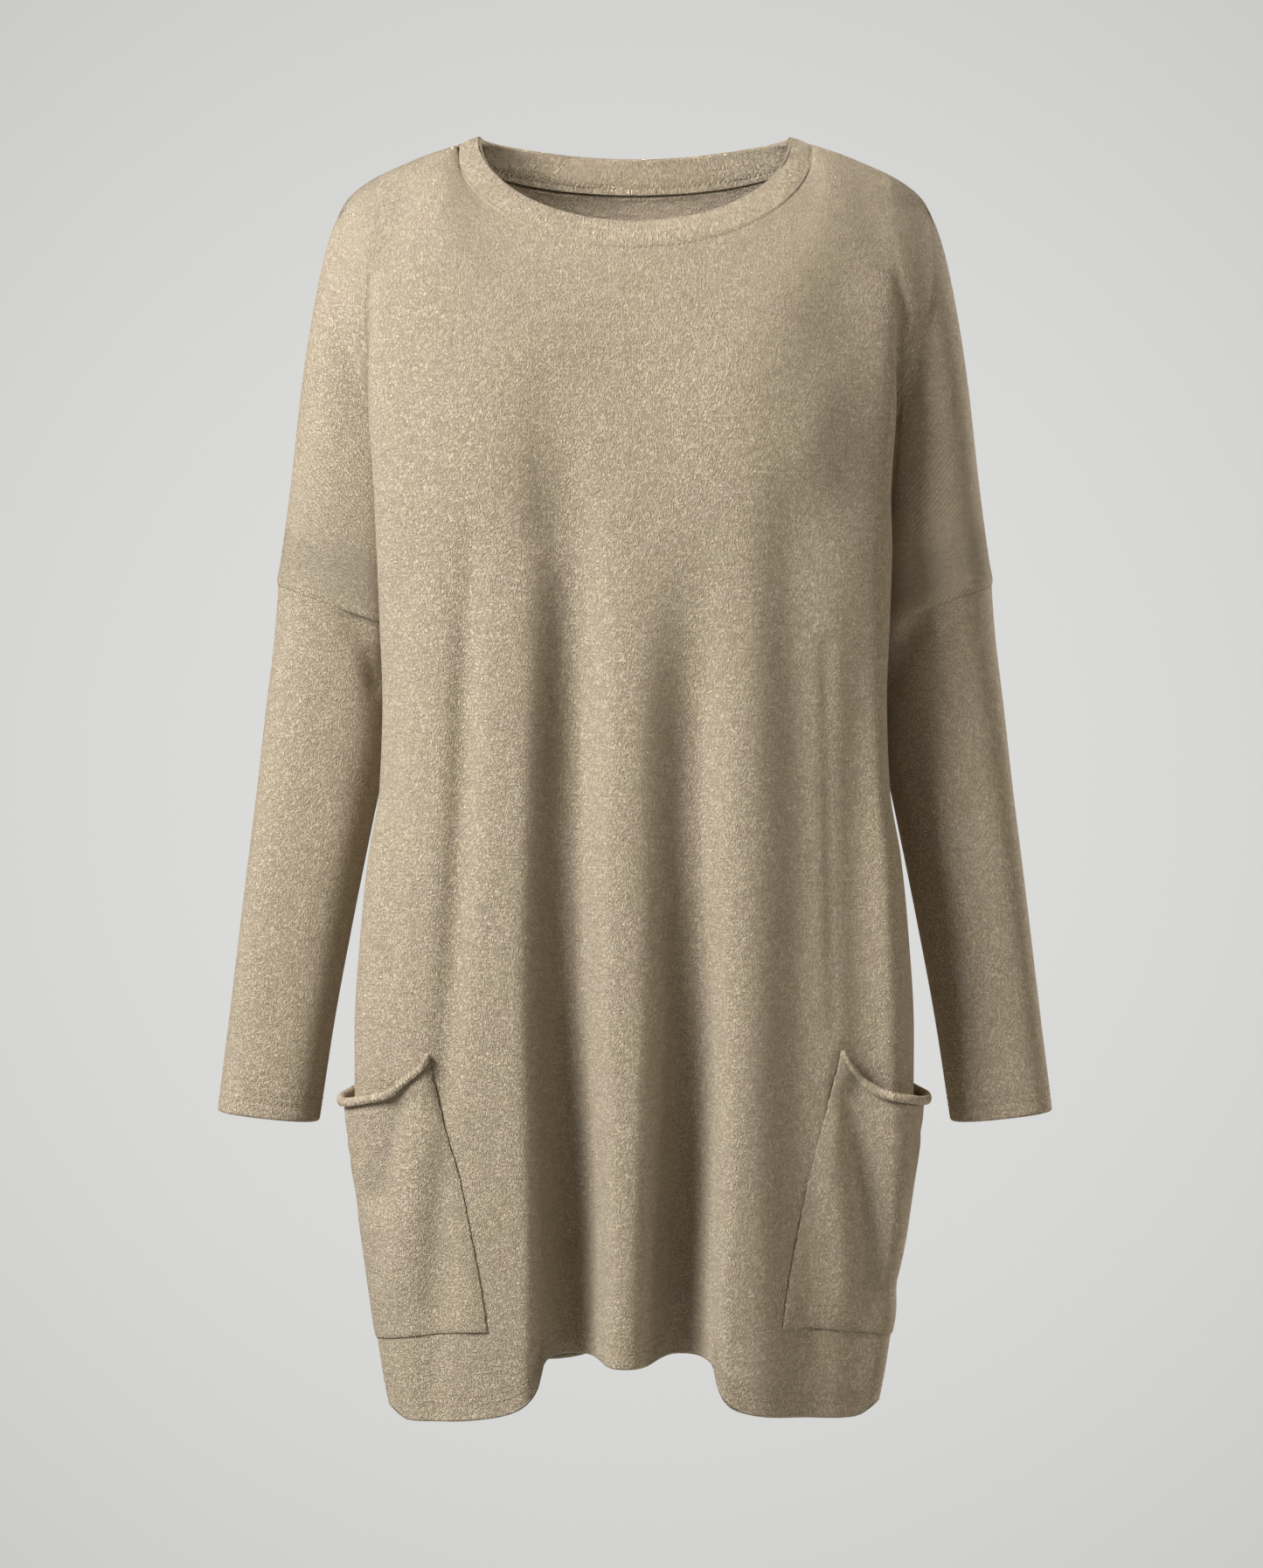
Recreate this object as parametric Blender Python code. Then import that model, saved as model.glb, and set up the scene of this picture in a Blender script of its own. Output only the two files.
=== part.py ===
"""Long loose sweater, worn shape with nobody in it: a front and a back that carry grown-on dropped
shoulders, two long sleeves, a folded neckband and two patch pockets, each one wall of cloth."""

import math

import bpy
import numpy as np

# Sizes in millimetres. "down" is the drop below the top of the neckband at the shoulder.
METRES = 0.001
WALL = 2.0
LEAST_FACING = 0.55
LEAST_SEAM_FACING = 0.5
SEAM_GAP = 0.3
POCKET_GAP = 0.4
ORIGIN_DOWN = 7.0
UNDERARM_DOWN = 330.0
ARMHOLE_SLOPE = 0.36
ARMHOLE_OUTER_X = 238.5
ARMHOLE_OUTER_DOWN = 298.0
ARMHOLE_MIDDLE_DOWN = 316.0

# Neckband: half widths of its free edge and of its seam, and how far each runs forward, back and down.
NECK_Y = 8.0
EDGE_HALF = 102.5
EDGE_FRONT_Y = -72.0
EDGE_FRONT_DOWN = 65.0
EDGE_BACK_Y = 62.0
EDGE_BACK_DOWN = 4.5
SEAM_HALF = 118.0
SEAM_SHOULDER_DOWN = 6.0
SEAM_FRONT_Y = -86.0
SEAM_FRONT_DOWN = 81.0
SEAM_BACK_Y = 70.0
SEAM_BACK_DOWN = 26.5
NECK_ROUND = 0.85
NECK_EVEN = 0.3
BAND_ROUND = 1.2
BAND_ROWS = 4

# Panel columns on each half, from the centre line outward, and panel rows from the top down.
NECK_COLUMNS = 11
SHOULDER_COLUMNS = 5
FLANK_COLUMNS = 4
ARM_COLUMNS = 8
UPPER_ROWS = 14
WAIST_ROWS = 8
POCKET_ROWS = 7
HEM_ROWS = 2
SLEEVE_ROWS = 15
ROW_CROWDING = 1.35
SHOULDER_CROWDING = 0.82
SPACING_LEVEL = 400.0
SPACING_STEPS = 400

# Section shape: how square the body and the smooth yoke are, and where the side fold sets in.
BODY_POWER = 2.35
YOKE_POWER = 2.3
EDGE_POWER = 8
LEAST_FLANK = 6.0
FLANK_HANDLE = 0.4
FOLD_STARTS = 70.0
FOLD_FULL = 190.0
CLOSING_STARTS = 240.0
TUCK_HALF = 7.0
PIT_SWING = 9.0
ARM_HANDLE = 0.55
ARCH_POWER = 0.56
BODY_ARCH_DROP = 96.0
ARM_ARCH_DROP = 75.0
SLIDE_DROP = 120.0
LEAD_DROP = 70.0
SLEEVE_BLEND = 0.18
WAIST_LEVEL = 520.0
HEM_GROWTH = 260.0
HEM_LEVEL = 820.0
HEM_WIDTH_LEVEL = 835.0
SIDE_HEM_DOWN = 830.0

# Pocket: where its slanted edge lies as a share of the half width, and how far its mouth stands off.
POCKET_TOP_DOWN = 601.0
POCKET_TOP_SHARE = 0.745
POCKET_BOTTOM_DOWN = 782.0
POCKET_BOTTOM_SHARE = 0.555
POCKET_SIDE_TOP = 612.0
POCKET_SIDE_BOTTOM = 793.0
RIM_SAG = 27.0
RIM_STANDS_OFF = 10.5
BAG_SKEW = 0.62
BAG_POWER = 1.5
SIDE_BAG_POWER = 5.0
SIDE_BAG_STARTS = 0.35
SIDE_BAG_RUN = 0.25
GAPE_POWER = 0.8
STAND_POWER = 1.2
BOTTOM_RISE = 1.6
SAG_ROWS = 3

CLOTH_COLOUR = (0.48, 0.38, 0.26)
POCKET_COLOUR = (0.46, 0.36, 0.25)
CLOTH_ROUGHNESS = 0.9
PLACES_PER_METRE = 2e5


def table(head, *rows):
    """Named columns of a table whose rows are sections, folds or points along an edge."""
    columns = np.array(rows, dtype=float).T
    return dict(zip(head.split(), columns))


# Front panel section at each level: edge of the side fold, middle of the front, bottom of the tuck.
FRONT = table(
    "down crest_x crest_y middle_y tuck_x tuck_y",
    (0, 160, -50, -72, 176, -30),
    (80, 167, -60, -88, 177, -38),
    (120, 171, -62, -99, 175, -38),
    (176, 173, -62, -110, 169, -32),
    (230, 170, -60, -118, 163, -20),
    (280, 167.5, -58, -122, 156, -4),
    (330, 165.5, -56, -125, 150, 14),
    (373, 164, -54, -126, 147, 14),
    (431, 166, -52, -127, 150, 14),
    (477, 173.5, -50, -127, 155, 14),
    (520, 178, -50, -126, 159, 14),
    (593, 182.5, -48, -124, 165, 14),
    (650, 182.5, -46, -122, 167, 14),
    (709, 177.5, -45, -119, 165, 14),
    (756, 171.8, -44, -116, 161, 14),
    (802, 166, -44, -112, 156, 14),
    (845, 158, -44, -109, 150, 14),
)

# Back panel section at the same kind of levels.
BACK = table(
    "down crest_x crest_y middle_y tuck_x tuck_y",
    (0, 158, 52, 58, 176, 46),
    (80, 164, 70, 88, 177, 56),
    (120, 166, 74, 97, 174, 56),
    (176, 165, 75, 104, 168, 52),
    (230, 162, 73, 105, 161, 42),
    (280, 160, 70, 104, 154, 28),
    (330, 158, 68, 102, 150, 14),
    (373, 157, 66, 100, 147, 14),
    (431, 159, 64, 98, 150, 14),
    (477, 163, 62, 97, 155, 14),
    (520, 167, 61, 97, 159, 14),
    (593, 172, 60, 98, 165, 14),
    (650, 174, 59, 98, 167, 14),
    (709, 171, 57, 97, 165, 14),
    (756, 167, 55, 96, 161, 14),
    (802, 161, 53, 93, 156, 14),
    (845, 153, 52, 91, 150, 14),
)

# Upper arm under the dropped shoulder: outline, middle line, and how far front and back stand off.
ARM = table(
    "down outer_x middle_x front_y back_y",
    (48, 197, 168, -42, 62),
    (60, 202, 170, -43, 64),
    (83, 208.5, 173, -44, 65),
    (118, 215, 177, -44, 65),
    (164, 221.5, 182, -42, 64),
    (234, 229.5, 187, -40, 63),
    (280, 235.5, 191, -38, 62),
    (330, 241, 195, -36, 61),
)

# Shoulder seam from the neckband out to where it turns down the arm.
SHOULDER = table(
    "x down y",
    (118, 6, 8),
    (138, 11, 9.5),
    (154, 16.5, 11),
    (168, 22.5, 12),
    (179, 28.5, 13),
    (187, 34.5, 13.5),
    (193, 41, 14),
    (197, 48, 14),
)

# Sleeve rings from the armhole to the cuff.
SLEEVE = table(
    "along outer_x outer_down inner_x inner_down front_y back_y",
    (0.0, 237.5, 298, 150, 330, -36, 62),
    (0.1, 240.5, 330, 153, 358, -35, 61),
    (0.25, 246, 376, 161, 402, -33, 58),
    (0.4, 251.5, 428, 172, 449, -30, 54),
    (0.6, 260, 500, 186.5, 517, -27, 48),
    (0.8, 268.5, 573, 199.5, 585, -25, 44),
    (1.0, 277.4, 645.5, 210, 653, -24, 42),
)

# Hem level across the front and across the back.
FRONT_HEM = table(
    "x down",
    (-158, 833),
    (-145, 838),
    (-120, 840),
    (-98, 838),
    (-80, 835),
    (-66, 829),
    (-55, 814),
    (-45, 801),
    (-20, 799),
    (0, 801),
    (22, 800),
    (37, 801),
    (46, 814),
    (57, 828),
    (74, 834),
    (98, 838),
    (122, 841),
    (145, 839),
    (158, 833),
)
BACK_HEM = table(
    "x down",
    (-154, 830),
    (-110, 829),
    (-55, 820),
    (0, 814),
    (55, 820),
    (110, 829),
    (154, 830),
)

# Long soft folds: where each starts, its line at the top and at the hem, its depth there, its width.
FRONT_FOLDS = table(
    "starts top_x hem_x waist_depth hem_depth width",
    (220, -110, -122, 6, 2, 13),
    (215, -62, -49, 19, 31, 14.5),
    (265, 20, 30, 16, 28, 14.5),
    (150, 95, 97, 9, 6, 15),
    (240, 139, 134, 5, 2, 11),
)
BACK_FOLDS = table(
    "starts top_x hem_x waist_depth hem_depth width",
    (330, -98, -104, 6, 10, 17),
    (300, -40, -46, 9, 16, 17),
    (360, 22, 20, 7, 13, 16),
    (310, 84, 88, 9, 15, 18),
)

# Chest form of the front.
CHEST = table(
    "x down stands_off spread_x spread_down",
    (-84, 192, 9, 40, 62),
    (82, 192, 9, 40, 62),
)


def curve(xs, ys, at):
    """Smooth curve through the points of a table that never overshoots them, flat beyond its ends."""
    steps = np.diff(xs)
    rises = np.diff(ys) / steps
    slopes = np.zeros(len(xs))
    for i in range(1, len(xs) - 1):
        before, after = rises[i - 1], rises[i]
        if before * after > 0:
            near = 2 * steps[i] + steps[i - 1]
            far = steps[i] + 2 * steps[i - 1]
            slopes[i] = (near + far) / (near / before + far / after)
    slopes[0] = rises[0]
    slopes[-1] = rises[-1]
    at = np.clip(np.asarray(at, dtype=float), xs[0], xs[-1])
    i = np.clip(np.searchsorted(xs, at, side="right") - 1, 0, len(xs) - 2)
    run = (at - xs[i]) / steps[i]
    value = ys[i] * (1 + 2 * run) * (1 - run) ** 2 + ys[i + 1] * run**2 * (3 - 2 * run)
    return value + steps[i] * (slopes[i] * run * (1 - run) ** 2 - slopes[i + 1] * run**2 * (1 - run))


def read(rows, name, at, by="down"):
    return curve(rows[by], rows[name], at)


def ease(value):
    value = np.clip(value, 0.0, 1.0)
    return value * value * (3 - 2 * value)


def bezier(points, v):
    """Points of a cubic curve, each control point a pair of arrays."""
    weights = ((1 - v) ** 3, 3 * v * (1 - v) ** 2, 3 * v * v * (1 - v), v**3)
    x = sum(w * p[0] for w, p in zip(weights, points))
    y = sum(w * p[1] for w, p in zip(weights, points))
    return x, y


def fold_depth(folds, x, down):
    """How far the folds of a panel sink in at a place."""
    total = np.zeros_like(x)
    for i in range(len(folds["starts"])):
        start = folds["starts"][i]
        run = np.clip((down - start) / (HEM_LEVEL - start), 0.0, 1.1)
        line = folds["top_x"][i] + (folds["hem_x"][i] - folds["top_x"][i]) * run
        grown = folds["waist_depth"][i] * ease((down - start) / (WAIST_LEVEL - start))
        later = (folds["hem_depth"][i] - folds["waist_depth"][i]) * ease((down - WAIST_LEVEL) / HEM_GROWTH)
        total += (grown + later) * np.exp(-0.5 * ((x - line) / folds["width"][i]) ** 2)
    return total


def chest_form(x, down):
    total = np.zeros_like(x)
    for i in range(len(CHEST["x"])):
        across = (x - CHEST["x"][i]) / CHEST["spread_x"][i]
        below = (down - CHEST["down"][i]) / CHEST["spread_down"][i]
        total += CHEST["stands_off"][i] * np.exp(-0.5 * (across**2 + below**2))
    return total


def body_part(rows, front, share, down):
    """Panel between its two side folds, at a signed share of the half width."""
    crest_x = read(rows, "crest_x", down)
    crest_y = read(rows, "crest_y", down)
    middle_y = read(rows, "middle_y", down)
    x = crest_x * share
    size = np.clip(np.abs(share), 0.0, 1.0)
    bow = (1 - size**BODY_POWER) ** (1 / BODY_POWER)
    inside = 1 - size**EDGE_POWER
    folds = fold_depth(FRONT_FOLDS if front else BACK_FOLDS, x, down) * inside
    y = crest_y + (middle_y - crest_y) * bow
    if front:
        return x, y + folds - chest_form(x, down) * inside
    return x, y - folds


def closing_at(down):
    return ease((down - CLOSING_STARTS) / (UNDERARM_DOWN - CLOSING_STARTS))


def flank_part(rows, run, down):
    """From the edge of the side fold back to the bottom of the tuck, or to the side seam lower down."""
    crest = (read(rows, "crest_x", down), read(rows, "crest_y", down))
    tuck = (read(rows, "tuck_x", down), read(rows, "tuck_y", down))
    closing = closing_at(down)
    depth = tuck[1] - crest[1]
    second = (crest[0], crest[1] + FLANK_HANDLE * depth)
    third = (tuck[0] - TUCK_HALF * (1 - closing), tuck[1] - FLANK_HANDLE * depth * closing)
    return bezier((crest, second, third, tuck), run)


def arm_part(rows, front, run, down):
    """From the bottom of the tuck round the upper arm to the seam along its outside."""
    name = "front_y" if front else "back_y"
    outward = -1.0 if front else 1.0
    tuck = (read(rows, "tuck_x", down), read(rows, "tuck_y", down))
    middle = (read(ARM, "middle_x", down), read(ARM, name, down))
    outer_x = read(ARM, "outer_x", down)
    seam_y = SHOULDER["y"][-1]
    closing = closing_at(down)
    second = (tuck[0] + TUCK_HALF, tuck[1] + outward * PIT_SWING * closing)
    third = (middle[0] - ARM_HANDLE * (middle[0] - tuck[0]), middle[1])
    near = bezier((tuck, second, third, middle), np.clip(run * 2, 0, 1))
    turn = np.clip(run * 2 - 1, 0, 1) * math.pi / 2
    far_x = middle[0] + (outer_x - middle[0]) * np.sin(turn)
    far_y = seam_y + (middle[1] - seam_y) * np.cos(turn)
    return np.where(run < 0.5, near[0], far_x), np.where(run < 0.5, near[1], far_y)


def pocket_share(down):
    run = np.clip((down - POCKET_TOP_DOWN) / (POCKET_BOTTOM_DOWN - POCKET_TOP_DOWN), 0, 1)
    return POCKET_TOP_SHARE + (POCKET_BOTTOM_SHARE - POCKET_TOP_SHARE) * run


def slid_share(share, down):
    """Columns lean over so that one of them runs along the slanted edge of the pocket."""
    edge = pocket_share(down)
    inner = share * edge / POCKET_TOP_SHARE
    outer = edge + (share - POCKET_TOP_SHARE) * (1 - edge) / (1 - POCKET_TOP_SHARE)
    return np.where(share < POCKET_TOP_SHARE, inner, outer)


def even_shares(count, first, last):
    """Shares between two places that are evenly spaced along the cloth of a middle section."""
    share = np.linspace(first, last, SPACING_STEPS)
    x, y = body_part(FRONT, False, share, np.full_like(share, SPACING_LEVEL))
    lengths = np.concatenate([[0.0], np.cumsum(np.hypot(np.diff(x), np.diff(y)))])
    return np.interp(np.linspace(0, lengths[-1], count + 1), lengths, share)


def column_places():
    """Place of each column of one half: body shares up to 1, then flank up to 2, then arm up to 3."""
    inner = np.linspace(0, POCKET_TOP_SHARE, NECK_COLUMNS + 1)
    outer = even_shares(SHOULDER_COLUMNS, POCKET_TOP_SHARE, 1.0)
    flank = 1 + np.linspace(0, 1, FLANK_COLUMNS + 1)
    arm = 2 + np.linspace(0, 1, ARM_COLUMNS + 1)
    return np.concatenate([inner, outer[1:], flank[1:], arm[1:]])


PLACES = column_places()
HALF_COLUMNS = len(PLACES) - 1
BODY_HALF = HALF_COLUMNS - ARM_COLUMNS


def top_edge(front):
    """Where each column of one half starts: along the neckline, then along the shoulder seam."""
    x = np.zeros(HALF_COLUMNS + 1)
    y = np.zeros(HALF_COLUMNS + 1)
    down = np.zeros(HALF_COLUMNS + 1)
    for j in range(NECK_COLUMNS + 1):
        run = j / NECK_COLUMNS
        across = NECK_EVEN * run + (1 - NECK_EVEN) * math.sin(run * math.pi / 2)
        turn = math.sqrt(max(0.0, 1 - across * across))
        x[j] = SEAM_HALF * across
        if front:
            y[j] = NECK_Y + (SEAM_FRONT_Y - NECK_Y) * turn**NECK_ROUND
            down[j] = SEAM_SHOULDER_DOWN + (SEAM_FRONT_DOWN - SEAM_SHOULDER_DOWN) * turn
        else:
            y[j] = NECK_Y + (SEAM_BACK_Y - NECK_Y) * turn**NECK_ROUND
            down[j] = SEAM_SHOULDER_DOWN + (SEAM_BACK_DOWN - SEAM_SHOULDER_DOWN) * turn
    seam_x = SHOULDER["x"]
    seam_down = SHOULDER["down"]
    lengths = np.concatenate([[0.0], np.cumsum(np.hypot(np.diff(seam_x), np.diff(seam_down)))])
    spans = HALF_COLUMNS - NECK_COLUMNS
    for k in range(1, spans + 1):
        run = (k / spans) ** SHOULDER_CROWDING
        along = lengths[-1] * run
        j = NECK_COLUMNS + k
        x[j] = curve(lengths, seam_x, along)
        y[j] = curve(lengths, SHOULDER["y"], along)
        down[j] = curve(lengths, seam_down, along)
    return x, y, down


def yoke_point(rows, front, place, down):
    """A point of the smooth section near the shoulder, where no side fold has formed yet."""
    crest_x = read(rows, "crest_x", down)
    tuck_x = np.maximum(read(rows, "tuck_x", down), crest_x + LEAST_FLANK)
    outer_x = read(ARM, "outer_x", down)
    flank_x = crest_x + (tuck_x - crest_x) * np.clip(place - 1, 0, 1)
    arm_run = np.clip(place - 2, 0, 1)
    arm_x = tuck_x + (outer_x - tuck_x) * np.sin(arm_run * math.pi / 2)
    x = np.where(place <= 1, crest_x * place, np.where(place <= 2, flank_x, arm_x))
    seam_y = SHOULDER["y"][-1]
    bow = (1 - np.clip(x / outer_x, 0, 1) ** YOKE_POWER) ** (1 / YOKE_POWER)
    y = seam_y + (read(rows, "middle_y", down) - seam_y) * bow
    if front:
        y = y - chest_form(x, down) * (1 - np.clip(place, 0, 1) ** EDGE_POWER)
    return x, y


def shoulder_level(x):
    """Level of the shoulder line above any place, run on flat across the neck."""
    beyond = np.clip(np.abs(x), SHOULDER["x"][0], SHOULDER["x"][-1])
    return curve(SHOULDER["x"], SHOULDER["down"], beyond)


def upper_grid(rows, front):
    """Panel from its top edge to the armhole seams and the underarms, one row of points a row of cloth."""
    top_x, top_y, top_down = top_edge(front)
    grid = np.zeros((UPPER_ROWS + 1, 2 * HALF_COLUMNS + 1, 3))
    for half in (-1, 1):
        for j in range(HALF_COLUMNS + 1):
            place = PLACES[j]
            for i in range(UPPER_ROWS + 1):
                run = (i / UPPER_ROWS) ** ROW_CROWDING
                x, y, down = upper_point(rows, front, place, run, half, top_x[j], top_y[j], top_down[j])
                grid[i, HALF_COLUMNS + half * j] = (half * x, y, down)
    return grid


def upper_point(rows, front, place, run, half, top_x, top_y, top_down):
    """A point of the yoke: the level section, rounded over at the shoulder and led to the top edge."""
    bottom = UNDERARM_DOWN
    if place > 2:
        edge_x = arm_part(rows, front, np.array(place - 2), np.array(ARMHOLE_MIDDLE_DOWN))[0]
        bottom = ARMHOLE_OUTER_DOWN + ARMHOLE_SLOPE * (ARMHOLE_OUTER_X - edge_x)
        bottom = min(bottom, UNDERARM_DOWN)
    down = top_down + (bottom - top_down) * run
    here = formed_point(rows, front, place * half, down)
    start = formed_point(rows, front, place * half, top_down)
    slide = 1 - ease((down - top_down) / SLIDE_DROP)
    x = here[0] + (top_x - start[0]) * slide
    drop = BODY_ARCH_DROP + (ARM_ARCH_DROP - BODY_ARCH_DROP) * max(place - 1, 0) / 2
    bent = arched(here[1], x, down, drop)
    lead = top_y - arched(start[1], top_x, top_down, drop)
    return x, bent + lead * (1 - ease((down - top_down) / LEAD_DROP)), down


def formed_point(rows, front, signed_place, down):
    """A point of a level section, smooth near the shoulder and folded lower down."""
    down = np.array(float(down))
    folded = folded_point(rows, front, signed_place, down)
    smooth = yoke_point(rows, front, np.array(abs(signed_place)), down)
    share = ease((down - FOLD_STARTS) / (FOLD_FULL - FOLD_STARTS))
    x = smooth[0] + (folded[0] - smooth[0]) * share
    y = smooth[1] + (folded[1] - smooth[1]) * share
    return float(x), float(y)


def arched(y, x, down, drop):
    """Rounds the panel over from the shoulder line to its full depth."""
    seam_y = curve(SHOULDER["x"], SHOULDER["y"], np.clip(x, SHOULDER["x"][0], SHOULDER["x"][-1]))
    below = np.clip((down - shoulder_level(x)) / drop, 0.0, 1.0)
    bend = (1 - (1 - below) ** 2) ** ARCH_POWER
    return float(seam_y + (y - seam_y) * bend)


def folded_point(rows, front, signed_place, down):
    """A point of a level section with its side fold, and with folds that differ on the two halves."""
    half = -1.0 if signed_place < 0 else 1.0
    place = abs(signed_place)
    if place <= 1:
        share = float(slid_share(place, down))
        x, y = body_part(rows, front, np.array(half * share), down)
        return half * x, y
    if place <= 2:
        return flank_part(rows, np.array(place - 1), down)
    return arm_part(rows, front, np.array(place - 2), down)


def level_lines(front, j, half):
    """Levels that the rows of one column pass: underarm, pocket mouth, pocket bottom, hem."""
    place = min(PLACES[j], 2.0)
    across = np.clip((place - POCKET_TOP_SHARE) / (2.0 - POCKET_TOP_SHARE), 0, 1)
    mouth = POCKET_TOP_DOWN + (POCKET_SIDE_TOP - POCKET_TOP_DOWN) * across
    bottom = POCKET_BOTTOM_DOWN + (POCKET_SIDE_BOTTOM - POCKET_BOTTOM_DOWN) * ease(across * BOTTOM_RISE)
    hem_rows = FRONT_HEM if front else BACK_HEM
    share = slid_share(min(place, 1.0), HEM_LEVEL)
    x = half * float(share) * read(FRONT if front else BACK, "crest_x", HEM_WIDTH_LEVEL)
    hem = float(curve(hem_rows["x"], hem_rows["down"], x))
    if place > 1:
        hem += (SIDE_HEM_DOWN - hem) * ease(place - 1)
    return UNDERARM_DOWN, mouth, bottom, hem


def lower_grid(rows, front):
    """Panel from the underarm level to the hem."""
    counts = (WAIST_ROWS, POCKET_ROWS, HEM_ROWS)
    grid = np.zeros((sum(counts) + 1, 2 * BODY_HALF + 1, 3))
    for half in (-1, 1):
        for j in range(BODY_HALF + 1):
            lines = level_lines(front, j, half)
            levels = [lines[0]]
            for k, count in enumerate(counts):
                steps = np.arange(1, count + 1) / count
                levels.extend(lines[k] + (lines[k + 1] - lines[k]) * steps)
            for i, down in enumerate(levels):
                x, y = folded_point(rows, front, PLACES[j] * half, np.array(float(down)))
                grid[i, BODY_HALF + half * j] = (half * x, y, down)
    return grid


class Skin:
    """Outer face of one piece of cloth: its points, its quads, the points of its free edges,
    those where it turns away from what it is sewn to, and its underarm points."""

    def __init__(self, name):
        self.name = name
        self.points = []
        self.quads = []
        self.free = set()
        self.apart = set()
        self.pits = set()
        self.index = {}

    def add(self, key, point):
        if key not in self.index:
            self.index[key] = len(self.points)
            self.points.append(np.array(point, dtype=float))
        return self.index[key]

    def quad(self, keys, outward):
        """Four corners; the first and the third stay the ends of its diagonal whichever way it faces."""
        a, b, c, d = (self.index[key] for key in keys)
        self.quads.append((a, b, c, d) if outward else (a, d, c, b))


def panel_skin(name, rows, front):
    """The front or the back as one sheet: yoke and grown-on shoulders, then the body to the hem."""
    skin = Skin(name)
    upper = upper_grid(rows, front)
    lower = lower_grid(rows, front)
    for i in range(UPPER_ROWS + 1):
        for j in range(2 * HALF_COLUMNS + 1):
            skin.add((i, j), upper[i, j])
    for i in range(1, lower.shape[0]):
        for j in range(2 * BODY_HALF + 1):
            skin.add((UPPER_ROWS + i, ARM_COLUMNS + j), lower[i, j])
    last = UPPER_ROWS + lower.shape[0] - 1
    for i in range(last):
        side = 0 if i < UPPER_ROWS else ARM_COLUMNS
        for j in range(side, 2 * HALF_COLUMNS - side):
            corners = ((i, j), (i, j + 1), (i + 1, j + 1), (i + 1, j))
            if j >= HALF_COLUMNS:
                corners = corners[1:] + corners[:1]
            skin.quad(corners, not front)
    skin.free = {skin.index[(last, ARM_COLUMNS + j)] for j in range(2 * BODY_HALF + 1)}
    skin.pits = {skin.index[(UPPER_ROWS, HALF_COLUMNS + half * BODY_HALF)] for half in (-1, 1)}
    return skin


def sleeve_skin(name, half, front_skin, back_skin):
    """A tube from the armhole seam of both panels to the cuff."""
    skin = Skin(name)
    count = 2 * ARM_COLUMNS
    first = []
    for k in range(count):
        if k <= ARM_COLUMNS:
            j = HALF_COLUMNS + half * (HALF_COLUMNS - k)
            first.append(front_skin.points[front_skin.index[(UPPER_ROWS, j)]])
        else:
            j = HALF_COLUMNS + half * (BODY_HALF + k - ARM_COLUMNS)
            first.append(back_skin.points[back_skin.index[(UPPER_ROWS, j)]])
    for i in range(SLEEVE_ROWS + 1):
        along = i / SLEEVE_ROWS
        outer = np.array([read(SLEEVE, "outer_x", along, "along"), read(SLEEVE, "outer_down", along, "along")])
        inner = np.array([read(SLEEVE, "inner_x", along, "along"), read(SLEEVE, "inner_down", along, "along")])
        front_y = read(SLEEVE, "front_y", along, "along")
        back_y = read(SLEEVE, "back_y", along, "along")
        share = ease(along / SLEEVE_BLEND)
        for k in range(count):
            turn = 2 * math.pi * k / count
            flat = (outer + inner) / 2 + (outer - inner) / 2 * math.cos(turn)
            y = (front_y + back_y) / 2 - (back_y - front_y) / 2 * math.sin(turn)
            oval = np.array([half * flat[0], y, flat[1]])
            start = first[k] + (oval - oval_start(half, turn))
            skin.add((i, k), start + (oval - start) * share)
    for i in range(SLEEVE_ROWS):
        for k in range(count):
            after = (k + 1) % count
            skin.quad(((i, k), (i, after), (i + 1, after), (i + 1, k)), half > 0)
    skin.free = {skin.index[(SLEEVE_ROWS, k)] for k in range(count)}
    skin.apart = {skin.index[(0, ARM_COLUMNS)]}
    return skin


def oval_start(half, turn):
    """The first oval of the sleeve table, which the true armhole ring stands in for."""
    outer = np.array([SLEEVE["outer_x"][0], SLEEVE["outer_down"][0]])
    inner = np.array([SLEEVE["inner_x"][0], SLEEVE["inner_down"][0]])
    flat = (outer + inner) / 2 + (outer - inner) / 2 * math.cos(turn)
    front_y = SLEEVE["front_y"][0]
    back_y = SLEEVE["back_y"][0]
    return np.array([half * flat[0], (front_y + back_y) / 2 - (back_y - front_y) / 2 * math.sin(turn), flat[1]])


def band_skin(name, front_skin, back_skin):
    """The neckband: a ring that stands on the neckline seam and leans in to its folded edge."""
    skin = Skin(name)
    ring = []
    for j in range(-NECK_COLUMNS, NECK_COLUMNS + 1):
        ring.append((front_skin.points[front_skin.index[(0, HALF_COLUMNS + j)]], True))
    for j in range(NECK_COLUMNS - 1, -NECK_COLUMNS, -1):
        ring.append((back_skin.points[back_skin.index[(0, HALF_COLUMNS + j)]], False))
    count = len(ring)
    for k, (seam, front) in enumerate(ring):
        across = seam[0] / SEAM_HALF
        turn = math.sqrt(max(0.0, 1 - across * across))
        edge_y = NECK_Y + ((EDGE_FRONT_Y if front else EDGE_BACK_Y) - NECK_Y) * turn**NECK_ROUND
        edge_down = EDGE_FRONT_DOWN * turn if front else EDGE_BACK_DOWN * turn**3
        edge = np.array([EDGE_HALF * across, edge_y, edge_down])
        for i in range(BAND_ROWS):
            run = i / (BAND_ROWS - 1)
            point = seam + (edge - seam) * run
            point[2] -= BAND_ROUND * math.sin(run * math.pi)
            skin.add((i, k), point)
    for i in range(BAND_ROWS - 1):
        for k in range(count):
            after = (k + 1) % count
            skin.quad(((i, k), (i, after), (i + 1, after), (i + 1, k)), True)
    skin.free = {skin.index[(BAND_ROWS - 1, k)] for k in range(count)}
    return skin


def to_space(point):
    """From a table point, with its drop, to metres with up positive."""
    return np.array([point[0], point[1], ORIGIN_DOWN - point[2]]) * METRES


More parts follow.
